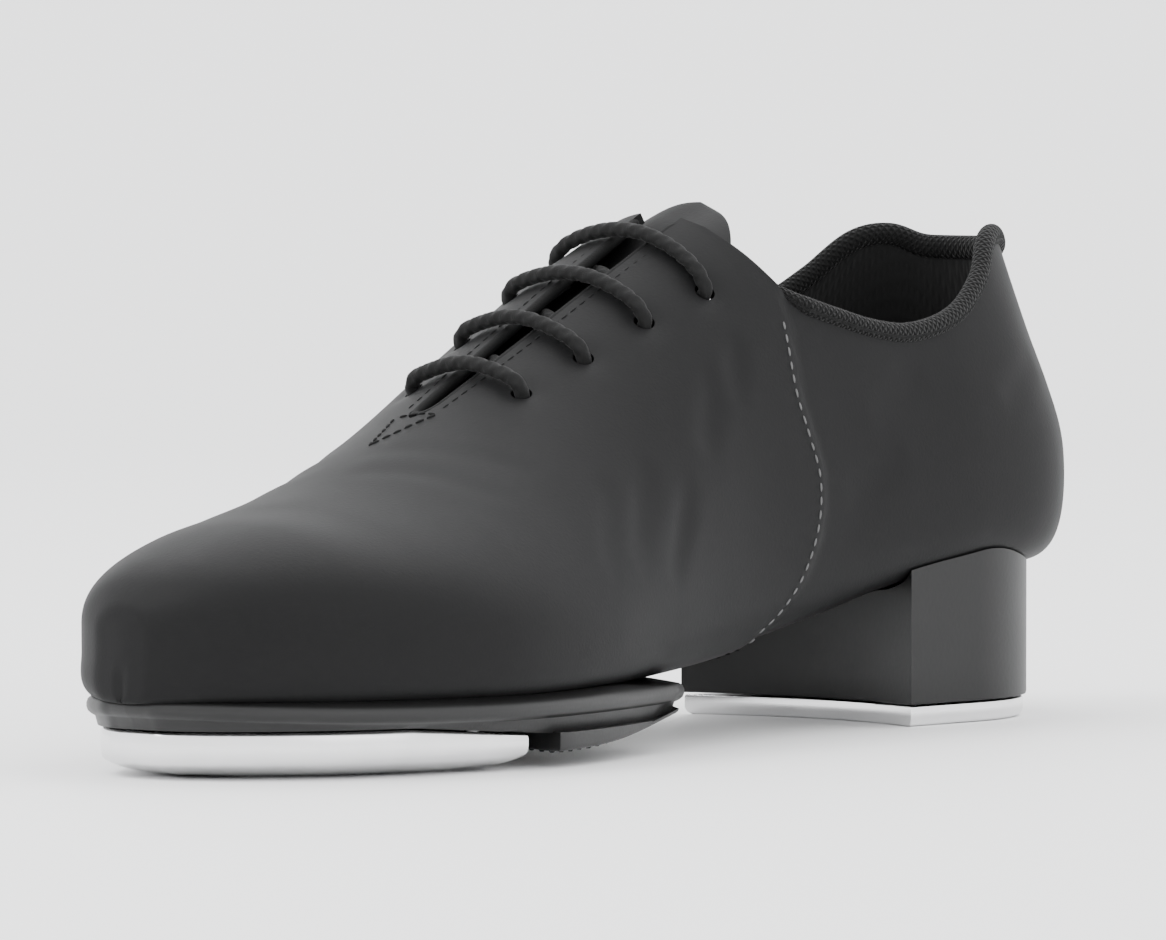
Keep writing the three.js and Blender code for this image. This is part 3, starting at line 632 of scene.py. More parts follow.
# Creases over the vamp: ends as (across, distance from the heel).
VAMP_CREASES = [
    ((-30, 152), (-4, 166), 0.3, 3.4),
    ((-34, 162), (-8, 174), 0.28, 3.8),
    ((8, 160), (26, 150), 0.3, 3.6),
    ((2, 170), (22, 160), 0.22, 4.0),
]


HOLE_SINK, HOLE_SINK_RADIUS = 0.55, 3.2  # how the lace pulls the leather in at a hole
OVERLAP = 0.5  # how far the front panel stands above the quarters
ARCH_SEAM = 97  # where the front panel's lower edge crosses under the arch
ARCH_STEP = 0.45  # how far that edge stands out
ARCH_GROOVE, ARCH_GROOVE_HALF = 0.4, 0.8  # the seam that runs lengthwise under the arch
DRAWN = 0.07  # the faint unevenness of leather drawn over a last


def arch_middle(y):
    return Section(index_at(y)).middle + 1.5


def seam_distance(points):
    """How far a point lies in front of the line where the front panel meets the quarters."""
    return points[..., 1] - along(SEAM_LINE, points[..., 2])


def trough(points, start, end, depth, width):
    """A soft crease: deepest midway along its line, fading out at both ends, with raised shoulders."""
    line = end - start
    t = np.clip(((points - start) @ line) / (line @ line), -0.2, 1.2)
    away = np.linalg.norm(points - start - t[..., None] * line, axis=-1) / width
    fade = np.clip(1 - (2 * t - 1) ** 2, 0, 1)
    return -depth * fade * (1 - 0.9 * away ** 2) * np.exp(-away ** 2)


def facing_spot(y, side):
    """The middle of a lace hole and the direction out of the leather there."""
    share = (y / SHOE_LENGTH - HOLES_TO) / (HOLES_FROM - HOLES_TO)
    inset = FACING_INSET_TOP + (FACING_INSET_BASE - FACING_INSET_TOP) * share
    return over(throat_middle(y) + side * (throat_half(y) + inset), y)


HOLES = [[facing_spot(y, side) for side in (-1, 1)] for y in LACE_YS]


def relief_of(points):
    """How far the leather stands out of the last at each point, in millimetres."""
    x, y, z = np.moveaxis(points, -1, 0)
    out = OVERLAP * (smooth_step(-0.7, 0.5, seam_distance(points)) - 0.5)
    for start, end, depth, width in FLANK_CREASES:
        out += trough(points, flank(*start), flank(*end), depth, width)
    for start, end, depth, width in VAMP_CREASES:
        out += trough(points, over(*start)[0], over(*end)[0], depth, width)
    for pair in HOLES:
        for centre, _ in pair:
            away = np.linalg.norm(points - centre, axis=-1)
            out -= HOLE_SINK * np.exp(-(away / HOLE_SINK_RADIUS) ** 2)
    below = smooth_step(0, 5, underside_at(y) + 7 - z)
    out += below * ARCH_STEP * smooth_step(-0.6, 0.4, y - ARCH_SEAM)
    spread = np.exp(-((x - arch_middle(y)) / ARCH_GROOVE_HALF) ** 2)
    spread = spread * smooth_step(0, 3, y - 52) * smooth_step(0, 3, 122 - y)
    out -= below * ARCH_GROOVE * spread
    broad = np.sin(x / 7.3 + y / 11 + 0.6) * np.sin(y / 9.1 - z / 8.7)
    drawn = broad + 0.6 * np.sin(y / 5.3 + z / 6.1 + x / 13)
    return out + DRAWN * drawn * smooth_step(0, 8, z - FOREFOOT_STACK)


def outward(grid):
    """The directions out of a grid of points."""
    rows, columns = np.gradient(grid, axis=0), np.gradient(grid, axis=1)
    return unit(np.cross(rows, columns))


# %% [markdown]
# The rows follow the last's own sections, closer together where the width changes quickly. Each row is
# divided evenly between its two cut edges, so that both edges are columns of the grid. In front of
# the throat the two edges meet, and there the first and the last column become one line.

# %% The leather as a grid of quads
UPPER_ROWS, UPPER_AROUND = 250, 150
ROW_SAMPLES = 900
JOINED_WITHIN = 0.2  # edges closer than this are one line


def upper_grid():
    """Rows of points from the inner cut edge, under the foot, to the outer cut edge."""
    s = Section(FINE_INDEX)
    travel = np.concatenate([[0], np.cumsum(np.hypot(np.diff(s.y), np.diff(s.half)))])
    indexes = np.interp(np.linspace(0, travel[-1], UPPER_ROWS), travel, FINE_INDEX)
    rows = []
    for index in indexes:
        outer, inner = cut_angles(index)
        turn = np.linspace(inner, 2 * math.pi + outer, ROW_SAMPLES)
        line = last_point(np.full_like(turn, index), turn)
        length = lengths_along(line)
        rows.append(sampled(line, length, np.linspace(0, length[-1], UPPER_AROUND)))
    return np.stack(rows)


smooth_upper = upper_grid()
directions = outward(smooth_upper)
towards = smooth_upper - smooth_upper.mean(axis=1, keepdims=True)
if (directions * towards).sum() < 0:
    directions = -directions
shaped_upper = smooth_upper + directions * relief_of(smooth_upper)[..., None]
for end in (0, -1):
    shaped_upper[end] = smooth_upper[end] + (0, OVERLAP / 2, 0)
closed_rows = np.linalg.norm(smooth_upper[:, 0] - smooth_upper[:, -1], axis=1) < JOINED_WITHIN
ridge = (shaped_upper[closed_rows, 0] + shaped_upper[closed_rows, -1]) / 2
shaped_upper[closed_rows, 0] = shaped_upper[closed_rows, -1] = ridge
print("upper:", smooth_upper.shape)
print("mm box", smooth_upper.min((0, 1)).round(1), smooth_upper.max((0, 1)).round(1))

# %% [markdown]
# Under the ball and under the heel the leather is turned in and the sole closes the shoe, so the
# upper has an opening there. The lace holes are punched through with a Boolean, after the wall is
# thick, so that their rims show both layers.

# %% The wall, the openings underneath and the lace holes
OPENING_LIFT = 1.5  # how far above the underside the leather still counts as turned in
BALL_OPENING, BALL_MARGIN = (134, 214), 16
HEEL_OPENING, HEEL_OPENING_HALF = (24, 44), 12
HEEL_CORNER_BACK, HEEL_CORNER_RISE = 16, 14
HEART = (0, 32, 48)  # a point inside the shoe, over the heel
HOLE_RADIUS, HOLE_REACH = 1.75, 4


def under_the_sole(points):
    """Which places are inside the lasting margin, where the leather is cut away."""
    x, y, z = np.moveaxis(points, -1, 0)
    s = Section(index_at(y))
    low = z < s.underside + OPENING_LIFT
    ball = (y > BALL_OPENING[0]) & (y < BALL_OPENING[1]) & (np.abs(x - s.middle) < s.half - BALL_MARGIN)
    heel = (y > HEEL_OPENING[0]) & (y < HEEL_OPENING[1]) & (np.abs(x) < HEEL_OPENING_HALF)
    return low & (ball | heel)


faces = grid_faces(UPPER_ROWS, UPPER_AROUND)
middles = shaped_upper.reshape(-1, 3)[np.array(faces)].mean(axis=1)
faces = [face for face, cut in zip(faces, under_the_sole(middles)) if not cut]
upper = mesh_piece("upper_leather", shaped_upper.reshape(-1, 3), faces, sharp_deg=60)
for finish in (leather, lining, cut_edge):
    upper.data.materials.append(finish)
wall = thicken(upper, WALL)
wall.material_offset = 1
wall.material_offset_rim = 2
outer_count = len(upper.data.vertices)
applied(upper)
# At the tight corner over the heel the thickness would fold over itself, so the lining there is
# set towards a point inside the shoe instead.
heart = Vector(placed(HEART))
for outer_vertex, inner_vertex in zip(upper.data.vertices[:outer_count], upper.data.vertices[outer_count:]):
    _, back, height = (np.array(outer_vertex.co) - (AXIS_X, BACK_Y, 0)) / MM
    if back < HEEL_CORNER_BACK and height < HEEL_SEAT + HEEL_CORNER_RISE:
        inner_vertex.co = outer_vertex.co + (heart - outer_vertex.co).normalized() * WALL * MM
print("upper faces:", len(upper.data.polygons))


def punch(name, centres, radius, depth):
    """Round cutters with their axes along the directions out of the surface."""
    cutter = bmesh.new()
    turn = np.linspace(0, 2 * math.pi, 24, endpoint=False)
    for centre, out in centres:
        side = unit(np.cross(out, (0, 1, 0.01)))
        lift = np.cross(out, side)
        ring = centre + radius * (np.cos(turn)[:, None] * side + np.sin(turn)[:, None] * lift)
        top = [cutter.verts.new(p) for p in placed(ring + out * depth)]
        bottom = [cutter.verts.new(p) for p in placed(ring - out * depth)]
        for k in range(len(turn)):
            after = (k + 1) % len(turn)
            cutter.faces.new((bottom[k], bottom[after], top[after], top[k]))
        cutter.faces.new(top)
        cutter.faces.new(bottom[::-1])
    bmesh.ops.recalc_face_normals(cutter, faces=cutter.faces)
    return built(name, cutter)


def cut_out(piece, cutter, overlapping=False):
    """Cuts the cutter's shape out of the piece and throws the cutter away."""
    cut = piece.modifiers.new("cut", "BOOLEAN")
    cut.operation, cut.solver = "DIFFERENCE", "EXACT"
    cut.object, cut.use_self = cutter, overlapping
    applied(piece)
    bpy.data.objects.remove(cutter)
    return piece


hole_cutter = punch("hole_cutter", [spot for pair in HOLES for spot in pair], HOLE_RADIUS, HOLE_REACH)
hole_cutter.data.materials.append(cut_edge)
cut_out(upper, hole_cutter)
shaded(upper, 50)
dress(upper, "upper_leather")
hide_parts("upper")
print("upper after punching:", len(upper.data.polygons), "faces")

# %% [markdown]
# ## The tongue
# The tongue is a separate soft flap under the facings. It lies deep enough for the lace's crossings
# to pass over it, comes up to the collar, and ends in a round, slightly padded top. A grid follows
# the last at a depth that changes along it; a thickness and a subdivision then round its edge. Down
# its middle it is slightly hollow.

# %% The tongue
TONGUE_FRONT, TONGUE_BACK = 0.63, 0.349
TONGUE_HALF_FRONT, TONGUE_HALF_BACK = 13, 17
TONGUE_ROWS, TONGUE_COLUMNS, TONGUE_THICKNESS = 56, 33, 1.8
GAP = 0.3
LACE_RADIUS = 1.3


def tongue_depth(y):
    return WALL + GAP + 2.6 * smooth_step(87, 99, y)


def tongue_points():
    share = 1 - (1 - np.linspace(0, 1, TONGUE_ROWS)) ** 2
    y = (TONGUE_FRONT + (TONGUE_BACK - TONGUE_FRONT) * share) * SHOE_LENGTH
    round_end = (1 - np.clip((share - 0.7) / 0.3, 0, 1) ** 2.8) ** (1 / 2.2)
    half = (TONGUE_HALF_FRONT + (TONGUE_HALF_BACK - TONGUE_HALF_FRONT) * share) * round_end
    across = np.linspace(-1, 1, TONGUE_COLUMNS)
    x = throat_middle(y)[:, None] * (1 - share[:, None]) + half[:, None] * across
    y = y[:, None] + 0 * x
    point, out = over(x, y)
    pillow = 0.9 * (1 - across ** 2) * smooth_step(0.55, 0.9, share)[:, None]
    curl = 0.5 * smooth_step(0.86, 1, share)[:, None]
    hollow = 1.5 * np.exp(-((x - x.mean(axis=1, keepdims=True)) / 7) ** 2)
    hollow = hollow * smooth_step(0.45, 0.85, share)[:, None]
    fold = 0.2 * np.sin(x / 2.1) * smooth_step(0.1, 0.4, share)[:, None]
    return point + out * (pillow + curl + fold - hollow - tongue_depth(y))[..., None]


tongue_faces = grid_faces(TONGUE_ROWS, TONGUE_COLUMNS)
tongue = mesh_piece("tongue_leather", tongue_points().reshape(-1, 3), tongue_faces, sharp_deg=80)
thicken(tongue, TONGUE_THICKNESS)
soften = tongue.modifiers.new("soften", "SUBSURF")
soften.levels = soften.render_levels = 1
applied(tongue)
tongue.data.shade_smooth()
dress(tongue, "tongue_leather", tongue_hide)
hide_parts("tongue")
print("tongue top, mm:", round(max(v.co.z for v in tongue.data.vertices) / MM, 1))

# %% [markdown]
# ## The binding and the folded edges
# A knitted tape is sewn round the collar and makes a soft roll on its edge, thickest at the back.
# Along the facings the leather is only folded, which leaves a thin dark roll. Both are swept along
# the cut edge: a curve with a bevel would do, but a swept mesh keeps its own UV map for the knit.

# %% The collar binding
BINDING_RADIUS = 1.8
BINDING_FRONT = 0.362


def topline_route():
    """The middle of the roll, from the inner facing round the heel to the outer facing."""
    index = index_at(BINDING_FRONT * SHOE_LENGTH) * (1 - np.linspace(0, 1, 50)) ** 1.4
    s = Section(index)
    z = topline_height(s.y, BINDING_RADIUS)
    angle = np.arcsin(np.clip((z - s.widest) / s.crown, 0, 1) ** (s.above / 2))
    inner, outer = last_point(index, math.pi - angle), last_point(index, angle)
    route = np.vstack([inner, outer[-2::-1]])
    level = unit(np.gradient(route, axis=0) * (1, 1, 0))
    inwards = np.column_stack([level[:, 1], -level[:, 0], 0 * level[:, 0]])
    centre = route.mean(axis=0)
    if ((centre - route) * inwards).sum() < 0:
        inwards = -inwards
    return route + inwards * WALL / 2


def binding_radius(share):
    """Thicker at the back of the heel, thin where it runs out at the facings."""
    back = math.exp(-((share - 0.5) / 0.09) ** 2)
    end = float(smooth_step(0, 0.05, min(share, 1 - share)))
    return (BINDING_RADIUS - 0.15 + 0.3 * back) * (0.45 + 0.55 * end)


binding = cord("collar_binding_roll", topline_route(), binding_radius, sides=20, step=0.9, squash=(1, 1.12))
dress(binding, "binding_cloth", binding_knit)
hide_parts("collar_binding")

# %% [markdown]
# The fold follows the grid's own edge, half a wall inside the leather. Smoothing its route takes the
# grid's small steps out of the turn at the throat's base.

# %% The folded edges of the facings
EDGE_RADIUS = 0.98


def facing_edge_route():
    """Along the cut edge: up the inner facing, round the throat's base, down the outer facing."""
    inset = shaped_upper - directions * WALL / 2
    inner, outer = inset[:, 0], inset[:, -1]
    first = BINDING_END * SHOE_LENGTH
    last = THROAT_BASE * SHOE_LENGTH + THROAT_HALF_BASE
    keep_inner = (inner[:, 1] > first) & (inner[:, 1] < last)
    keep_outer = (outer[:, 1] > first) & (outer[:, 1] < last)
    route = np.vstack([inner[keep_inner], outer[keep_outer][::-1]])
    for _ in range(4):
        route[1:-1] = (route[:-2] + 2 * route[1:-1] + route[2:]) / 4
    return route


facing_edge = cord("facing_edge_fold", facing_edge_route(), EDGE_RADIUS, sides=12, step=0.9)
dress(facing_edge, "upper_leather", cut_edge)
print("binding and folds:", len(binding.data.polygons), len(facing_edge.data.polygons), "faces")

# %% [markdown]
# ## The lace
# One round braided cord makes four straight bars. Each end of a bar dives through its punched hole,
# and the cord crosses under the facings, over the tongue, to the next pair. The hidden ends stop at
# the last holes. The braid is real relief on the cord: two sets of strands that wind against
# each other.

# %% The lace's route and braid
BRAID_PITCH = 2.7
LACE_CLEARANCE = 0.15
BAR_SHARES = (0.07, 0.2, 0.36, 0.5, 0.64, 0.8, 0.93)
STRANDS = 3


def bar_route(pair):
    """Out of the inner hole, over the facings and the throat, and down the outer hole."""
    (left, left_out), (right, right_out) = pair
    under = WALL + LACE_RADIUS + LACE_CLEARANCE
    share = np.array(BAR_SHARES)[:, None]
    flat = left + (right - left) * share
    point, out = over(flat[:, 0], flat[:, 1])
    arch = LACE_RADIUS + LACE_CLEARANCE + 0.5 * (1 - (2 * share - 1) ** 2)
    return np.vstack([left - left_out * under, left + left_out * 0.1, point + out * arch,
                      right + right_out * 0.1, right - right_out * under])


def crossing_route(start, end):
    """Under the facings from one hole to the next, lying over the tongue in the throat."""
    share = np.linspace(0.2, 0.8, 5)[:, None]
    flat = start[0] + (end[0] - start[0]) * share
    point, out = over(flat[:, 0], flat[:, 1])
    rise = 0.7 * np.exp(-((share - 0.5) / 0.12) ** 2)
    return point - out * (WALL + LACE_RADIUS + LACE_CLEARANCE - rise)


def braid(station, turns):
    """Two sets of strands that wind against each other, as a height over the cord."""
    wind = 2 * math.pi * station / BRAID_PITCH
    return 0.13 * np.maximum(np.sin(STRANDS * turns + wind), np.sin(STRANDS * turns - wind)) - 0.05


lace_route = []
for k, pair in enumerate(HOLES[::-1]):
    lace_route.append(bar_route(pair))
    if k < LACE_ROWS - 1:
        lace_route.append(crossing_route(pair[1], HOLES[::-1][k + 1][0]))
lace = cord("lace_cord", np.vstack(lace_route), LACE_RADIUS - 0.1, sides=18, step=0.45, relief=braid)
dress(lace, "lace_cotton", lace_braid)
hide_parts("lace")
print("lace:", len(lace.data.polygons), "faces")

# %% [markdown]
# ## The footbed
# Inside lies a thin cloth-covered footbed, seen through the collar. It follows the bottom of the
# last and cups up a little at its edge.

# %% The footbed
INSOLE_THICKNESS = 2.4
FOOTBED_ROWS, FOOTBED_COLUMNS = 90, 25
FOOTBED_BACK, FOOTBED_FRONT = 8, SHOE_LENGTH - 7


def footbed_points():
    y = np.linspace(FOOTBED_BACK, FOOTBED_FRONT, FOOTBED_ROWS)
    s = Section(index_at(y))
    z = s.underside + WALL + GAP + INSOLE_THICKNESS
    across = np.linspace(-1, 1, FOOTBED_COLUMNS)
    left, right = flank(y, z - INSOLE_THICKNESS, -1), flank(y, z - INSOLE_THICKNESS, 1)
    middle = (left[:, 0] + right[:, 0]) / 2
    half = np.maximum((right[:, 0] - left[:, 0]) / 2 - WALL - 2 * GAP, 0.5)
    x = middle[:, None] + half[:, None] * across
    cup = 0.9 * np.abs(across) ** 8
    return np.stack([x, left[:, 1:2] + 0 * x, z[:, None] + cup], -1)


footbed_faces = grid_faces(FOOTBED_ROWS, FOOTBED_COLUMNS)
footbed = mesh_piece("insole_footbed", footbed_points().reshape(-1, 3), footbed_faces)
if sum(f.normal.z for f in footbed.data.polygons) < 0:
    footbed.data.flip_normals()
thicken(footbed, 0.6 * INSOLE_THICKNESS)
applied(footbed)
dress(footbed, "insole_cloth", lining)
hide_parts("insole")
print("footbed:", len(footbed.data.polygons), "faces")

# %% [markdown]
# ## The split sole
# Rubber wraps the edge of the ball and toe in a low lip, and a thicker tread lies behind the tap. The
# solid joins the two; here each is a plate of rings over its own outline, which keeps the rim round
# and the tread's edge crisp. The lip keeps its side wall to its end, and never goes below the tread.

# %% The forefoot's rubber
SOLE_LIP, SOLE_RETURN = 0.6, 2.8
TREAD_RETURN = 1.5  # the tread's wall stands this far inside the leather's outline
SNUG = 0.15  # what the sole and the heel keep clear of the leather's round underside
PATCH_CLEARANCE, PATCH_RISE = 2.6, 6.2
TREAD_INNER, TREAD_OUTER, TREAD_BACK = 0.538, 0.511, 0.49
TAP_REAR_INNER, TAP_REAR_OUTER, TAP_REAR_BOW = 0.7414, 0.754, 7
TAP_INSET, TAP_WALL_TOP, TAP_WALL_REAR, TAP_EDGE, TAP_GROOVE = 3.2, 7.4, 5, 2.8, 4
FLAT_INSET = 15
LIP_TOP, LIP_BELOW, LIP_FADE_FROM = 0.9, 3, 0.64
DEEP = 1000  # further inside than any outline reaches


def front_outline(inner_share, outer_share, bow, inset, steps=70, across=36):
    """The last's outline forward of two points, closed behind by a bowed line."""
    first, final = index_at(outer_share * SHOE_LENGTH), index_at(inner_share * SHOE_LENGTH)
    outer = Section(np.linspace(first, ROW_LIMIT, steps, endpoint=False))
    inner = Section(np.linspace(ROW_LIMIT, final, steps + 1))
    points = np.vstack([
        np.column_stack([outer.middle + outer.half, outer.y]),
        np.column_stack([inner.middle - inner.half, inner.y]),
    ])
    middle = np.array([-0.1 * BALL_WIDTH, (0.25 + 0.5 * inner_share + 0.24) * SHOE_LENGTH])
    front = inward(points, middle, inset)
    t = np.linspace(0, 1, across + 1)[1:-1, None]
    back = front[-1] + (front[0] - front[-1]) * t - np.array([0, bow]) * 4 * t * (1 - t)
    return np.vstack([front, back])


def tap_top_at(x, y):
    tap_rear = TAP_REAR_INNER * SHOE_LENGTH
    share = np.clip((y - tap_rear + TAP_REAR_BOW) / (0.14 * SHOE_LENGTH), 0, 1)
    return TAP_WALL_REAR + (TAP_WALL_TOP - TAP_WALL_REAR) * share


def tread_at(x, y):
    front = TAP_REAR_INNER * SHOE_LENGTH - TAP_REAR_BOW
    share = np.maximum(0, (front - y) / (front - TREAD_BACK * SHOE_LENGTH))
    return PATCH_CLEARANCE + PATCH_RISE * share ** 2


def above_tap(x, y):
    """The underside of the sole's base: over the tap in front, over the tread behind it."""
    return np.maximum(tap_top_at(x, y) + GAP, tread_at(x, y) + 0.35)


def lip_at(from_underside, from_tread):
    """A line along the lip, a distance from the upper's underside but never below the tread."""
    return lambda x, y: np.maximum(underside_at(y) + from_underside, tread_at(x, y) + from_tread)


def under_upper(x, y):
    """The sole's top: it follows the leather's round edge, and thins out towards the back."""
    fade_length = (LIP_FADE_FROM - TREAD_INNER) * SHOE_LENGTH
    thin = smooth_step(0, 1, (LIP_FADE_FROM * SHOE_LENGTH - y) / fade_length)
    return np.minimum(last_underside(x, y) - SNUG, underside_at(y) + LIP_TOP * (1 - 1.3 * thin))


tread_middle = np.array([-0.1 * BALL_WIDTH, 0.765 * SHOE_LENGTH])
tread_bow = ((TREAD_INNER + TREAD_OUTER) / 2 - TREAD_BACK) * SHOE_LENGTH
tread_outline = front_outline(TREAD_INNER, TREAD_OUTER, tread_bow, 0)
lip = plate("forefoot_lip", tread_outline, tread_middle, [
    *[(inset, above_tap) for inset in (DEEP, 40, 25, 12, SOLE_RETURN + 0.6)],
    (SOLE_RETURN, lambda x, y: np.maximum(above_tap(x, y), lip_at(-LIP_BELOW - 1.6, 0.36)(x, y))),
    (SOLE_RETURN - 0.5, lip_at(-LIP_BELOW, 0.5)),
    (SOLE_LIP + 0.9, lip_at(-0.9 * LIP_BELOW, 0.6)),
    (SOLE_LIP + 0.3, lip_at(-0.76 * LIP_BELOW, 0.7)),
    (SOLE_LIP, lip_at(-0.55 * LIP_BELOW, 0.85)),
    (SOLE_LIP, lip_at(-0.35 * LIP_BELOW, 1.0)),
    (SOLE_LIP + 0.3, lip_at(-0.13 * LIP_BELOW, 1.2)),
    (SOLE_LIP + 0.9, lip_at(0, 1.35)),
    *[(inset, under_upper) for inset in (SOLE_RETURN, 8, 16, 28, DEEP)],
], 50)
dress(lip, "sole_rubber", rubber)
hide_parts("forefoot_sole")


def tread_patch_outline():
    """The tread's own outline: the sole's edge on both sides, the tap's groove in front."""
    sole = inward(tread_outline, tread_middle, TREAD_RETURN)
    tap = front_outline(TAP_REAR_INNER, TAP_REAR_OUTER, TAP_REAR_BOW, 0)
    groove = tap[-35:] - (0, TAP_GROOVE)
    limit = np.interp(sole[:, 0], groove[:, 0], groove[:, 1])
    rear = sole[sole[:, 1] < limit - 0.5]
    start = np.argmax(np.linalg.norm(np.diff(rear, axis=0, append=rear[:1]), axis=1))
    rear = np.roll(rear, -(start + 1), axis=0)
    inside = (groove[:, 0] > rear[0, 0] + 1) & (groove[:, 0] < rear[-1, 0] - 1)
    return rear, groove[inside]


rear, groove = tread_patch_outline()
ends = [np.array([e[0], np.interp(e[0], groove[:, 0], groove[:, 1])]) for e in (rear[0], rear[-1])]
patch_outline = np.vstack([rear, ends[1][None], groove[np.argsort(-groove[:, 0])], ends[0][None]])
patch_middle = np.array([-0.07 * BALL_WIDTH, 0.62 * SHOE_LENGTH])
patch = plate("tread_patch", patch_outline, patch_middle, [
    (DEEP, tread_at), (24, tread_at), (12, tread_at), (1.2, tread_at),
    (0.5, lambda x, y: tread_at(x, y) + 0.12), (0.12, lambda x, y: tread_at(x, y) + 0.4),
    (0, lambda x, y: tread_at(x, y) + 0.8),
    *[(inset, lambda x, y: above_tap(x, y) + 0.25) for inset in (0, 10, DEEP)],
], 50)
dress(patch, "sole_rubber", rubber)
print("tread patch:", patch_outline.min(0).round(1), "to", patch_outline.max(0).round(1))

# %% [markdown]
# ## The heel
# The heel is a block with a flat, slightly hollow front (the breast), straight sides and a round
# back. One D-shaped outline makes both the block and the tap under it. The block's top follows the
# round underside of the leather, so that no gap shows between them.

# %% The heel block
HEEL_WIDTH, HEEL_FRONT, BREAST_HOLLOW = 51.5, 56.5, 4.5
HEEL_TAP_THICKNESS = 3.4
HEEL_CUP = 6  # how far the block may rise round the leather


def curve_of(*handles, steps):
    """A Bezier curve through its handles, without its first point."""
    t = np.linspace(0, 1, steps + 1)[1:, None]
    order = len(handles) - 1
    return sum(math.comb(order, k) * t ** k * (1 - t) ** (order - k) * np.array(h, float)
               for k, h in enumerate(handles))


def heel_outline():
    half, back, corner = HEEL_WIDTH / 2, HEEL_BACK, HEEL_WIDTH / 2 * 1.12
    return np.vstack([
        curve_of((half, HEEL_FRONT), (0, HEEL_FRONT - 2 * BREAST_HOLLOW), (-half, HEEL_FRONT), steps=40),
        curve_of((-half, HEEL_FRONT), (-half, back + corner), steps=24),
        curve_of((-half, back + corner), (-half, back + 0.4 * corner), (-0.56 * half, back), (0, back),
                 steps=36),
        curve_of((0, back), (0.56 * half, back), (half, back + 0.4 * corner), (half, back + corner),
                 steps=36),
        curve_of((half, back + corner), (half, HEEL_FRONT), steps=24),
    ])


def heel_top(x, y):
    return np.minimum(last_underside(x, y) - SNUG, underside_at(y) + HEEL_CUP)


def heel_wall(share):
    """A height up the block's side, from just over its lower edge to the leather."""
    return lambda x, y: floor_gap + 0.5 + (heel_top(x, y) - floor_gap - 0.5) * share


heel_middle = np.array([0, (HEEL_BACK + HEEL_FRONT) / 2])
d_outline = heel_outline()
floor_gap = HEEL_TAP_THICKNESS + GAP
heel = plate("heel_block_rubber", d_outline, heel_middle, [
    (DEEP, lambda x, y: floor_gap), (10, lambda x, y: floor_gap), (0.5, lambda x, y: floor_gap),
    (0.12, lambda x, y: floor_gap + 0.12), (0, lambda x, y: floor_gap + 0.5),
    *[(0, heel_wall(share)) for share in (0.25, 0.5, 0.75, 1)],
    *[(inset, heel_top) for inset in (1.2, 4, 8, 14, DEEP)],
], 40)
dress(heel, "heel_rubber", heel_stack)
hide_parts("heel_block")
print("heel block:", len(heel.data.polygons), "faces")

# %% [markdown]
# ## The taps
# Each tap is a cast plate with a rolled, polished edge. The toe tap turns up round the sole in a low
# wall. The screws sit in round recesses, punched with a Boolean. On the real plates a mark is cast
# between the screws; here rows of plain shallow bars stand for it.

# %% The toe tap and the heel tap
TAP_HEAD_ROOM, RECESS_REACH = 4.7, 2.2
TOE_LIFT, HEEL_LIFT = 0.55, 0.25  # how far the screw heads stand above the taps' lowest plane
ENGRAVED = 0.3  # the depth of the bars
tap_rear = TAP_REAR_INNER * SHOE_LENGTH
TOE_SCREWS = [(-0.478 * BALL_WIDTH, tap_rear + 5.7), (0.173 * BALL_WIDTH, tap_rear + 7),
              (-0.236 * BALL_WIDTH, SHOE_LENGTH - 16.4)]
HEEL_SCREWS = [(-0.36 * HEEL_WIDTH, HEEL_FRONT - 12), (0.36 * HEEL_WIDTH, HEEL_FRONT - 12),
               (0, HEEL_BACK + 8.5)]


def level(height):
    return lambda x, y: height + 0 * x


def between(low, high, share):
    return lambda x, y: low(x, y) * (1 - share) + high(x, y) * share


tap_middle = np.array([-0.15 * BALL_WIDTH, 0.86 * SHOE_LENGTH])
tap_outline = front_outline(TAP_REAR_INNER, TAP_REAR_OUTER, TAP_REAR_BOW, TAP_INSET, 110, 60)
tap_side = level(TAP_EDGE)
toe_tap = plate("toe_tap_plate", tap_outline, tap_middle, [
    (DEEP, level(0)), (26, level(0)), (FLAT_INSET, level(0)), (12, level(0.05)),
    *[(inset, level(share * TAP_EDGE)) for inset, share in
      ((9, 0.14), (6.5, 0.27), (4.5, 0.4), (2.8, 0.55), (1.5, 0.72), (0.7, 0.86))],
    (0.3, tap_side),
    (0.1, between(tap_side, tap_top_at, 0.15)), (0, between(tap_side, tap_top_at, 0.4)),
    (0, between(tap_side, tap_top_at, 0.78)), (0.15, between(tap_side, tap_top_at, 0.93)),
    *[(inset, tap_top_at) for inset in (0.5, 1.4, 6, 12, 22, DEEP)],
], 42)
heel_tap = plate("heel_tap_plate", inward(d_outline, heel_middle, HEEL_TAP_INSET), heel_middle, [
    *[(inset, level(0)) for inset in (DEEP, 14, 5, 1.6)],
    (1.0, level(0.1)), (0.5, level(0.35)), (0.2, level(0.75)), (0, level(1.2)),
    (0, level(HEEL_TAP_THICKNESS - 0.5)), (0.12, level(HEEL_TAP_THICKNESS - 0.15)),
    *[(inset, level(HEEL_TAP_THICKNESS)) for inset in (0.4, 6, DEEP)],
], 42)


def engraving(name, bars):
    """Shallow bars to press into a plate's face: (x, y, length along x, length along y)."""
    made = bmesh.new()
    for x, y, wide, long in bars:
        for vertex in bmesh.ops.create_cube(made, size=1)["verts"]:
            u, v, w = vertex.co
            vertex.co = placed((x + u * wide, y + v * long, w * 2 * ENGRAVED))
    return built(name, made)


def bar_row(x, y, step, wide, long, short):
    """Seven bars side by side, long and short ones in turn."""
    return [(x + step * k, y, wide, short if k % 2 else long) for k in range(-3, 4)]


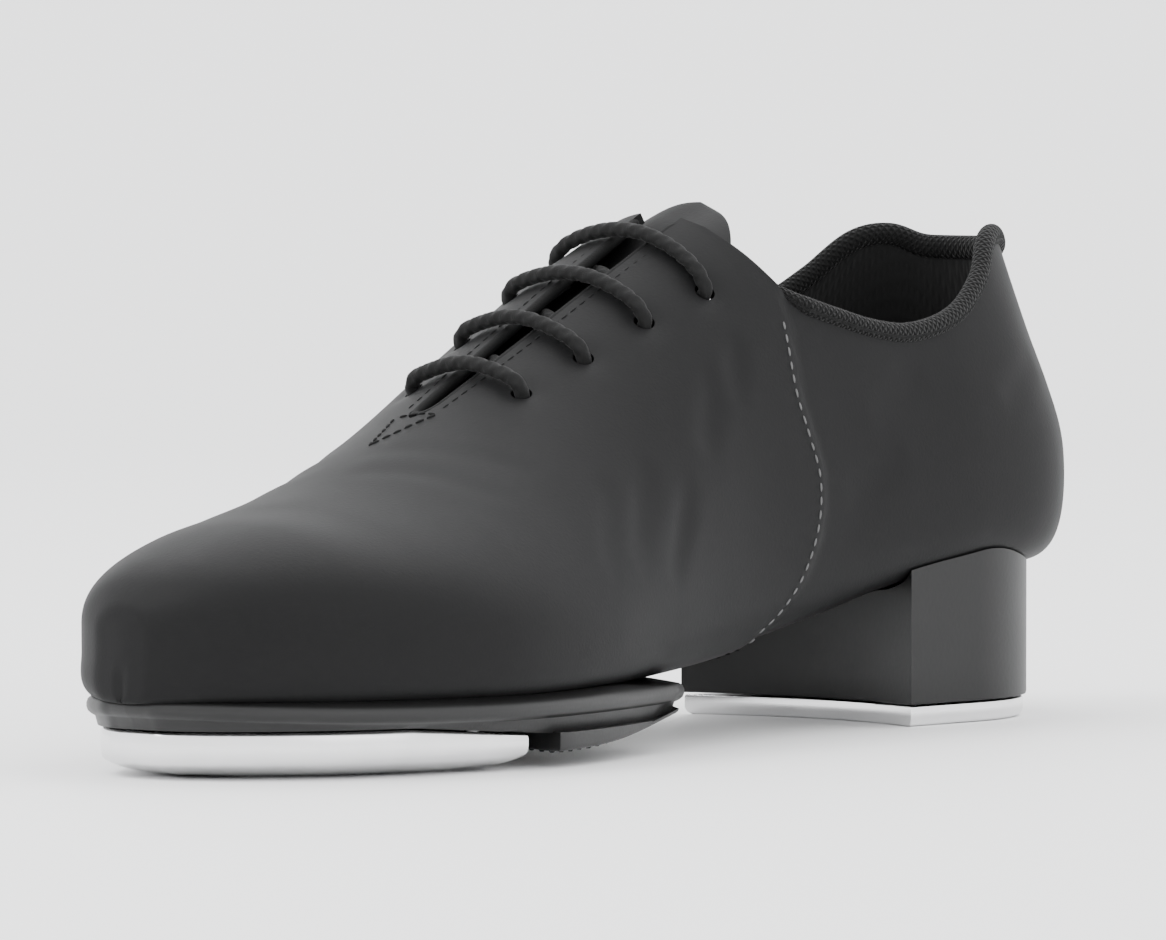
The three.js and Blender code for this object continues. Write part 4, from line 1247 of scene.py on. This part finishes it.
toe_bars = bar_row(-0.26 * BALL_WIDTH, 0.845 * SHOE_LENGTH, 4.2, 1.1, 10, 7.5)
toe_bars += bar_row(-0.22 * BALL_WIDTH, 0.795 * SHOE_LENGTH, 3, 0.9, 4, 4)
heel_bars = bar_row(0, HEEL_FRONT - 20, 3, 0.9, 5.5, 4)
for tap, bars, screws, lift, node in (
    (toe_tap, toe_bars, TOE_SCREWS, TOE_LIFT, "toe_tap"),
    (heel_tap, heel_bars, HEEL_SCREWS, HEEL_LIFT, "heel_tap"),
):
    cut_out(tap, engraving(f"{node}_bars", bars))
    spots = [(np.array([x, y, lift + 0.1]), np.array([0, 0, 1.0])) for x, y in screws]
    recess = punch(f"{node}_recess", spots, TAP_HEAD_ROOM, RECESS_REACH)
    recess.data.materials.append(tap_metal)
    cut_out(tap, recess)
    shaded(tap, 38)
    dress(tap, "tap_metal", tap_metal)
    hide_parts(node)
    print(node, len(tap.data.polygons), "faces")

# %% [markdown]
# ## The screws
# Six equal screws hold the taps: a domed head with a cross recess, and a shank. The head is turned
# on a lathe, the cross is cut by Boolean, and the one screw is placed six times by a small Geometry
# Nodes tree that reads each point's own turn.

# %% A screw, and a tree that places copies
SCREW_RADIUS = 4.0
HEAD_BOTTOM = 2
SHANK_RADIUS, SHANK_END = 1.5, 6
# The head's profile, as (share of the radius, height).
HEAD_PROFILE = [
    (0, 0.16), (0.3, 0.165), (0.55, 0.24), (0.74, 0.42),
    (0.88, 0.72), (0.96, 1.05), (1, 1.5), (1, HEAD_BOTTOM),
]
CROSS_LENGTH, CROSS_WIDTH, CROSS_DEPTH, CROSS_TAPER = 5.2, 1.05, 1.9, 0.72
SCREW_TURN = 0.5


def screw_model():
    turn = np.linspace(0, 2 * math.pi, 64, endpoint=False)
    profile = [(SCREW_RADIUS * r, z) for r, z in HEAD_PROFILE]
    profile += [(SHANK_RADIUS, HEAD_BOTTOM), (SHANK_RADIUS, SHANK_END), (0, SHANK_END)]
    loops = [np.column_stack([r * np.cos(turn), r * np.sin(turn), z + 0 * turn]) for r, z in profile]
    head = rings_piece("screw", loops, 45)
    cross = bmesh.new()
    for wide, long in ((CROSS_LENGTH, CROSS_WIDTH), (CROSS_WIDTH, CROSS_LENGTH)):
        for vertex in bmesh.ops.create_cube(cross, size=1)["verts"]:
            u, v, w = vertex.co
            taper = CROSS_TAPER if w > 0 else 1
            vertex.co = placed((u * wide * taper, v * long * taper, w * CROSS_DEPTH))
    bmesh.ops.recalc_face_normals(cross, faces=cross.faces)
    cut_out(head, built("cross", cross), overlapping=True)
    shaded(head, 35)
    head.data.transform(Matrix.Translation((-AXIS_X, -BACK_Y, 0)))
    return head


def copies_tree(name):
    """Puts a model on every point of a mesh, turned by the point's along and out, scaled by its size."""
    tree = bpy.data.node_groups.new(name, "GeometryNodeTree")
    for label, way, kind in (("Geometry", "INPUT", "Geometry"), ("Model", "INPUT", "Object"),
                             ("Material", "INPUT", "Material"), ("Geometry", "OUTPUT", "Geometry")):
        tree.interface.new_socket(label, in_out=way, socket_type=f"NodeSocket{kind}")
    add = tree.nodes.new
    source, result = add("NodeGroupInput"), add("NodeGroupOutput")
    place, realize = add("GeometryNodeInstanceOnPoints"), add("GeometryNodeRealizeInstances")
    paint = add("GeometryNodeSetMaterial")
    points, info = add("GeometryNodeMeshToPoints"), add("GeometryNodeObjectInfo")
    axes = add("FunctionNodeAxesToRotation")
    axes.primary_axis, axes.secondary_axis = "Z", "X"
    link = tree.links.new
    targets = {"out": axes.inputs[0], "along": axes.inputs[1], "size": place.inputs["Scale"]}
    for label, target in targets.items():
        field = add("GeometryNodeInputNamedAttribute")
        field.data_type = "FLOAT_VECTOR"
        field.inputs["Name"].default_value = label
        link(field.outputs["Attribute"], target)
    link(source.outputs["Geometry"], points.inputs["Mesh"])
    link(points.outputs["Points"], place.inputs["Points"])
    link(source.outputs["Model"], info.inputs["Object"])
    link(info.outputs["Geometry"], place.inputs["Instance"])
    link(axes.outputs["Rotation"], place.inputs["Rotation"])
    link(place.outputs["Instances"], realize.inputs["Geometry"])
    link(realize.outputs["Geometry"], paint.inputs["Geometry"])
    link(source.outputs["Material"], paint.inputs["Material"])
    link(paint.outputs["Geometry"], result.inputs["Geometry"])
    return tree


def set_copies(name, model, material, spots, out, heading, size):
    """A mesh of copies of the model at the spots; the tree's modifier is turned into plain mesh."""
    mesh = bpy.data.meshes.new(name)
    mesh.from_pydata(placed(spots).tolist(), [], [])
    for label, values in (("out", out), ("along", heading), ("size", size)):
        layer = mesh.attributes.new(label, "FLOAT_VECTOR", "POINT")
        filled = np.broadcast_to(np.asarray(values, np.float32), (len(mesh.vertices), 3))
        layer.data.foreach_set("vector", filled.ravel())
    piece = linked(name, mesh)
    copies = piece.modifiers.new("copies", "NODES")
    copies.node_group = copies_tree(f"{name}_tree")
    items = copies.node_group.interface.items_tree
    sockets = {item.name: item.identifier for item in items if item.in_out == "INPUT"}
    copies[sockets["Model"]] = model
    copies[sockets["Material"]] = material
    applied(piece)
    if not piece.data.materials:
        piece.data.materials.append(material)
    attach(piece, "root")
    return piece


screw = screw_model()
turned = (math.cos(SCREW_TURN), math.sin(SCREW_TURN), 0)
for name, screw_spots, lift, nodes in (
    ("toe_tap_screws", TOE_SCREWS, TOE_LIFT, "toe_screw"),
    ("heel_tap_screws", HEEL_SCREWS, HEEL_LIFT, "heel_screw"),
):
    spots = [(x, y, lift) for x, y in screw_spots]
    screws = set_copies(name, screw, screw_steel, spots, (0, 0, 1), turned, (1, 1, 1))
    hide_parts(*[f"{nodes}_{k}" for k in (1, 2, 3)])
    print(name, len(screws.data.polygons), "faces")
bpy.data.objects.remove(screw)

# %% [markdown]
# ## Stitches
# A stitch is a short thread that dips into the leather at both ends. A long, thin ball stands for
# it, and the same tree sets hundreds along a line: each point carries the line's direction, the
# direction out of the leather, and a size with a little spread from a fixed seed.

# %% Stitching
SEED = 7
FACING_TOP = 0.403  # share of the length where the facings' stitching starts
JITTER, SPREAD = 0.03, 0.04  # how uneven the spacing and the lengths are
# Each kind of stitch: pitch, length, thickness, and how far it is lifted out of the leather.
QUARTER_STITCH = (2.3, 1.5, 0.42, 0.02)
FACING_STITCH = (2.4, 1.6, 0.36, 0.0)
TACK_STITCH = (2.1, 1.6, 0.5, 0.05)
ARCH_STITCH = (2.2, 1.5, 0.42, 0.03)


def stitch_model():
    made = bmesh.new()
    bmesh.ops.create_uvsphere(made, u_segments=10, v_segments=8, radius=MM)
    piece = built("stitch", made)
    piece.data.shade_smooth()
    return piece


def stitch_line(line, kind):
    """Spots, directions and sizes of the stitches along a line, given as (route, directions out)."""
    route, out = line
    pitch, length, thick, lift = kind
    rng = np.random.default_rng(SEED)
    travelled = lengths_along(route)
    at = np.arange(pitch / 2, travelled[-1], pitch)
    at = at + rng.normal(0, JITTER * pitch, len(at))
    heading = unit(sampled(np.gradient(route, axis=0), travelled, at))
    outs = unit(sampled(out, travelled, at))
    size = np.column_stack([
        length / 2 * (1 + rng.normal(0, SPREAD, len(at))),
        np.full(len(at), thick / 2),
        np.full(len(at), thick / 2),
    ])
    return sampled(route, travelled, at) + outs * lift, outs, heading, size


def stitched(name, material, slot, *lines):
    spots, outs, heading, size = (np.concatenate(parts) for parts in zip(*lines))
    piece = set_copies(name, stitch, material, spots, outs, heading, size)
    print(name, len(spots), "stitches")
    return piece


def flank_line(side, shift, low, high, count=80):
    """A line on the flank beside the quarter seam, with the directions out of the leather."""
    z = np.linspace(low, high, count)
    y = along(SEAM_LINE, z) + shift
    points = flank(y, z, side)
    across = flank(y + 0.5, z, side) - flank(y - 0.5, z, side)
    upwards = flank(y, z + 0.5, side) - flank(y, z - 0.5, side)
    out = unit(np.cross(across, upwards)) * -side
    if (out[:, 0] * side).sum() < 0:
        out = -out
    return points + out * relief_of(points)[:, None], out


def over_line(spots):
    """A line over the top of the shoe, given in plan."""
    spots = np.asarray(spots, float)
    points, out = over(spots[:, 0], spots[:, 1])
    return points + out * relief_of(points)[:, None], out


def facing_line(side, inset, count=120):
    """A line a fixed distance behind the cut edge of a facing."""
    y = np.linspace(FACING_TOP * SHOE_LENGTH, THROAT_BASE * SHOE_LENGTH - 1, count)
    return over_line(np.column_stack([throat_middle(y) + side * (throat_half(y) + inset), y]))


def straight(start, end, count=30):
    return over_line(np.linspace(start, end, count))


def under_line(spots):
    """A line on the underside of the arch, given in plan."""
    x, y = np.asarray(spots, float).T
    points = np.column_stack([x, y, last_underside(x, y)])
    return points - relief_of(points)[:, None] * (0, 0, 1), np.tile((0.0, 0.0, -1.0), (len(x), 1))


stitch = stitch_model()
quarter = [stitch_line(flank_line(side, 1.5, 16, 68), QUARTER_STITCH) for side in (-1, 1)]
stitched("quarter_stitches", seam_thread, "upper_leather", *quarter)
dark = [stitch_line(facing_line(side, 1.9), FACING_STITCH) for side in (-1, 1)]
tack_x, tack_y = -THROAT_SHIFT * BALL_WIDTH, THROAT_BASE * SHOE_LENGTH + 1.5
TACK_HALF, TACK_LENGTH = 4.6, 10.5
tack = [(tack_x - TACK_HALF, tack_y), (tack_x + TACK_HALF, tack_y), (tack_x, tack_y + TACK_LENGTH)]
dark += [stitch_line(straight(start, end), TACK_STITCH) for start, end in zip(tack, tack[1:] + tack[:1])]
lengthwise = np.linspace(60, 118, 60)
arch = Section(index_at(ARCH_SEAM))
crosswise = np.linspace(arch.middle - arch.half + 5, arch.middle + arch.half - 5, 60)
under = [(arch_middle(lengthwise) + offset, lengthwise) for offset in (-1.7, 1.7)]
under += [(crosswise, ARCH_SEAM + offset + 0 * crosswise) for offset in (1.6, 3.8)]
dark += [stitch_line(under_line(np.column_stack(spots)), ARCH_STITCH) for spots in under]
stitched("facing_stitches", dark_thread, "upper_leather", *dark)
bpy.data.objects.remove(stitch)

# %% [markdown]
# ## The tread's knurl
# The tread behind the tap grips with a field of small raised diamonds. One low pyramid is set on a
# slanting lattice by the same tree as the stitches, so that the pitch is one number.

# %% The diamonds of the tread
KNURL_PITCH = 2.1
KNURL_EDGE = 2.2
KNURL_FLAT = 0.45  # the share of a diamond's width that stays flat on top
KNURL_SIZE = (0.82, 0.82, 0.4)


def inside(outline, points):
    """Which points lie inside an outline, by counting the edges to their right."""
    a, b = outline, np.roll(outline, -1, axis=0)
    x, y = points[:, :1], points[:, 1:]
    crossing = (a[:, 1] > y) != (b[:, 1] > y)
    slope = (b[:, 0] - a[:, 0]) / np.where(b[:, 1] == a[:, 1], 1e-9, b[:, 1] - a[:, 1])
    return (crossing & (x < a[:, 0] + (y - a[:, 1]) * slope)).sum(axis=1) % 2 == 1


def diamond_model():
    made = bmesh.new()
    rings = []
    for reach, z in ((1, 0), (KNURL_FLAT, 1)):
        ring = ((reach, 0), (0, reach), (-reach, 0), (0, -reach))
        rings.append([made.verts.new((MM * x, MM * y, MM * z)) for x, y in ring])
    bottom, top = rings
    for k in range(4):
        made.faces.new((bottom[k], bottom[(k + 1) % 4], top[(k + 1) % 4], top[k]))
    made.faces.new(top)
    return built("diamond", made)


a, b = (steps.ravel() for steps in np.meshgrid(np.arange(-80, 80), np.arange(-80, 80)))
lattice = np.column_stack([(a + b) * KNURL_PITCH / 2, (a - b) * KNURL_PITCH / 2])
lattice = lattice + (patch_outline.min(0) + patch_outline.max(0)) / 2
field = lattice[inside(inward(patch_outline, patch_middle, KNURL_EDGE), lattice)]
diamond = diamond_model()
spots = np.column_stack([field, tread_at(field[:, 0], field[:, 1]) + 0.05])
knurl = set_copies("tread_knurl", diamond, rubber, spots, (0, 0, -1), (1, 0, 0), KNURL_SIZE)
bpy.data.objects.remove(diamond)
print("tread diamonds:", len(field))

# %% [markdown]
# ## The studio
# A pale sheet of paper lies flat under the shoe, curves up behind it and becomes the wall. Sweeping
# one profile sideways makes it; the curve leaves no corner where the floor meets the wall.

# %% Floor and backdrop
VIEW_TURN, VIEW_RISE, VIEW_DISTANCE = math.radians(47.3), math.radians(2.2), 1.5
BEND_START, BEND_RADIUS, PAPER_HALF_WIDTH, PAPER_TOP = 1.3, 0.6, 3, 3.2  # metres
shoe_middle = (cad_low + cad_high) / 2
back_view = np.array([-math.cos(VIEW_TURN) * math.cos(VIEW_RISE), math.sin(VIEW_TURN) * math.cos(VIEW_RISE),
                      math.sin(VIEW_RISE)])
ahead = -unit(back_view * (1, 1, 0))
aside = np.array([ahead[1], -ahead[0], 0])


def backdrop_profile():
    """Distance behind the shoe and height of the sheet: flat, then a quarter round, then a wall."""
    turn = np.linspace(0, math.pi / 2, 24)
    bend = [(BEND_START + BEND_RADIUS * math.sin(t), BEND_RADIUS * (1 - math.cos(t))) for t in turn]
    return [(-2.6, 0), (-1, 0), (0, 0), (0.7, 0), *bend, (BEND_START + BEND_RADIUS, PAPER_TOP)]


profile = backdrop_profile()
under_shoe = np.array([shoe_middle.x, shoe_middle.y, 0])
paper_points = [
    tuple(under_shoe + ahead * distance + aside * across + (0, 0, rise))
    for distance, rise in profile for across in (-PAPER_HALF_WIDTH, PAPER_HALF_WIDTH)
]
sheet = bpy.data.meshes.new("floor")
sheet.from_pydata(paper_points, [], grid_faces(len(profile), 2))
sheet.shade_smooth()
floor = linked("floor", sheet)
paper = finish_of("studio_paper", greys(0.93, 0.95), (0.55, 0.65), 400, 0.0, 0.3, patches=2)
floor.data.materials.append(paper)

# %% [markdown]
# Four soft lamps are aimed at the shoe: a strong one high on one side, a weaker and larger one nearer
# the camera on the other, a strip over the top, and a wide strip behind it. The pale world adds even
# light from all round, as a white tent would.

# %% Lamps and the world's light
def lamp(name, spot, energy, size, size_y=None):
    """A soft area lamp aimed at the shoe; the spot is (towards the camera, aside, up) in metres."""
    data = bpy.data.lights.new(name, "AREA")
    data.energy = energy
    data.shape = "RECTANGLE"
    data.size, data.size_y = size, size_y or size
    source = linked(name, data)
    towards_camera, sideways, up = spot
    offset = Vector(-ahead * towards_camera + aside * sideways + (0, 0, up))
    source.location = shoe_middle + offset
    source.rotation_euler = offset.to_track_quat("Z", "Y").to_euler()
    return source


lamp("key", (0.35, -0.75, 0.95), 7, 0.55)
lamp("fill", (0.9, 0.8, 0.5), 2.5, 0.9)
lamp("top", (-0.25, 0.1, 1.1), 2, 0.9, 0.45)
lamp("wall", (-0.9, 0, 1.4), 3, 1.6, 0.5)
world = bpy.data.worlds.new("studio_light")
world.use_nodes = True
world.node_tree.nodes["Background"].inputs["Color"].default_value = (0.97, 0.975, 0.985, 1)
world.node_tree.nodes["Background"].inputs["Strength"].default_value = 2.5
bpy.context.scene.world = world

# %% [markdown]
# The camera looks almost level from the toe's side, a long lens away, so the shoe is drawn with
# little perspective.

# %% The camera
camera = linked("camera", bpy.data.cameras.new("camera"))
camera.data.lens = 285
camera.location = shoe_middle + Vector(back_view) * VIEW_DISTANCE
camera.rotation_euler = Vector(back_view).to_track_quat("Z", "Y").to_euler()
bpy.context.scene.camera = camera
print("camera at", [round(v, 3) for v in camera.location])
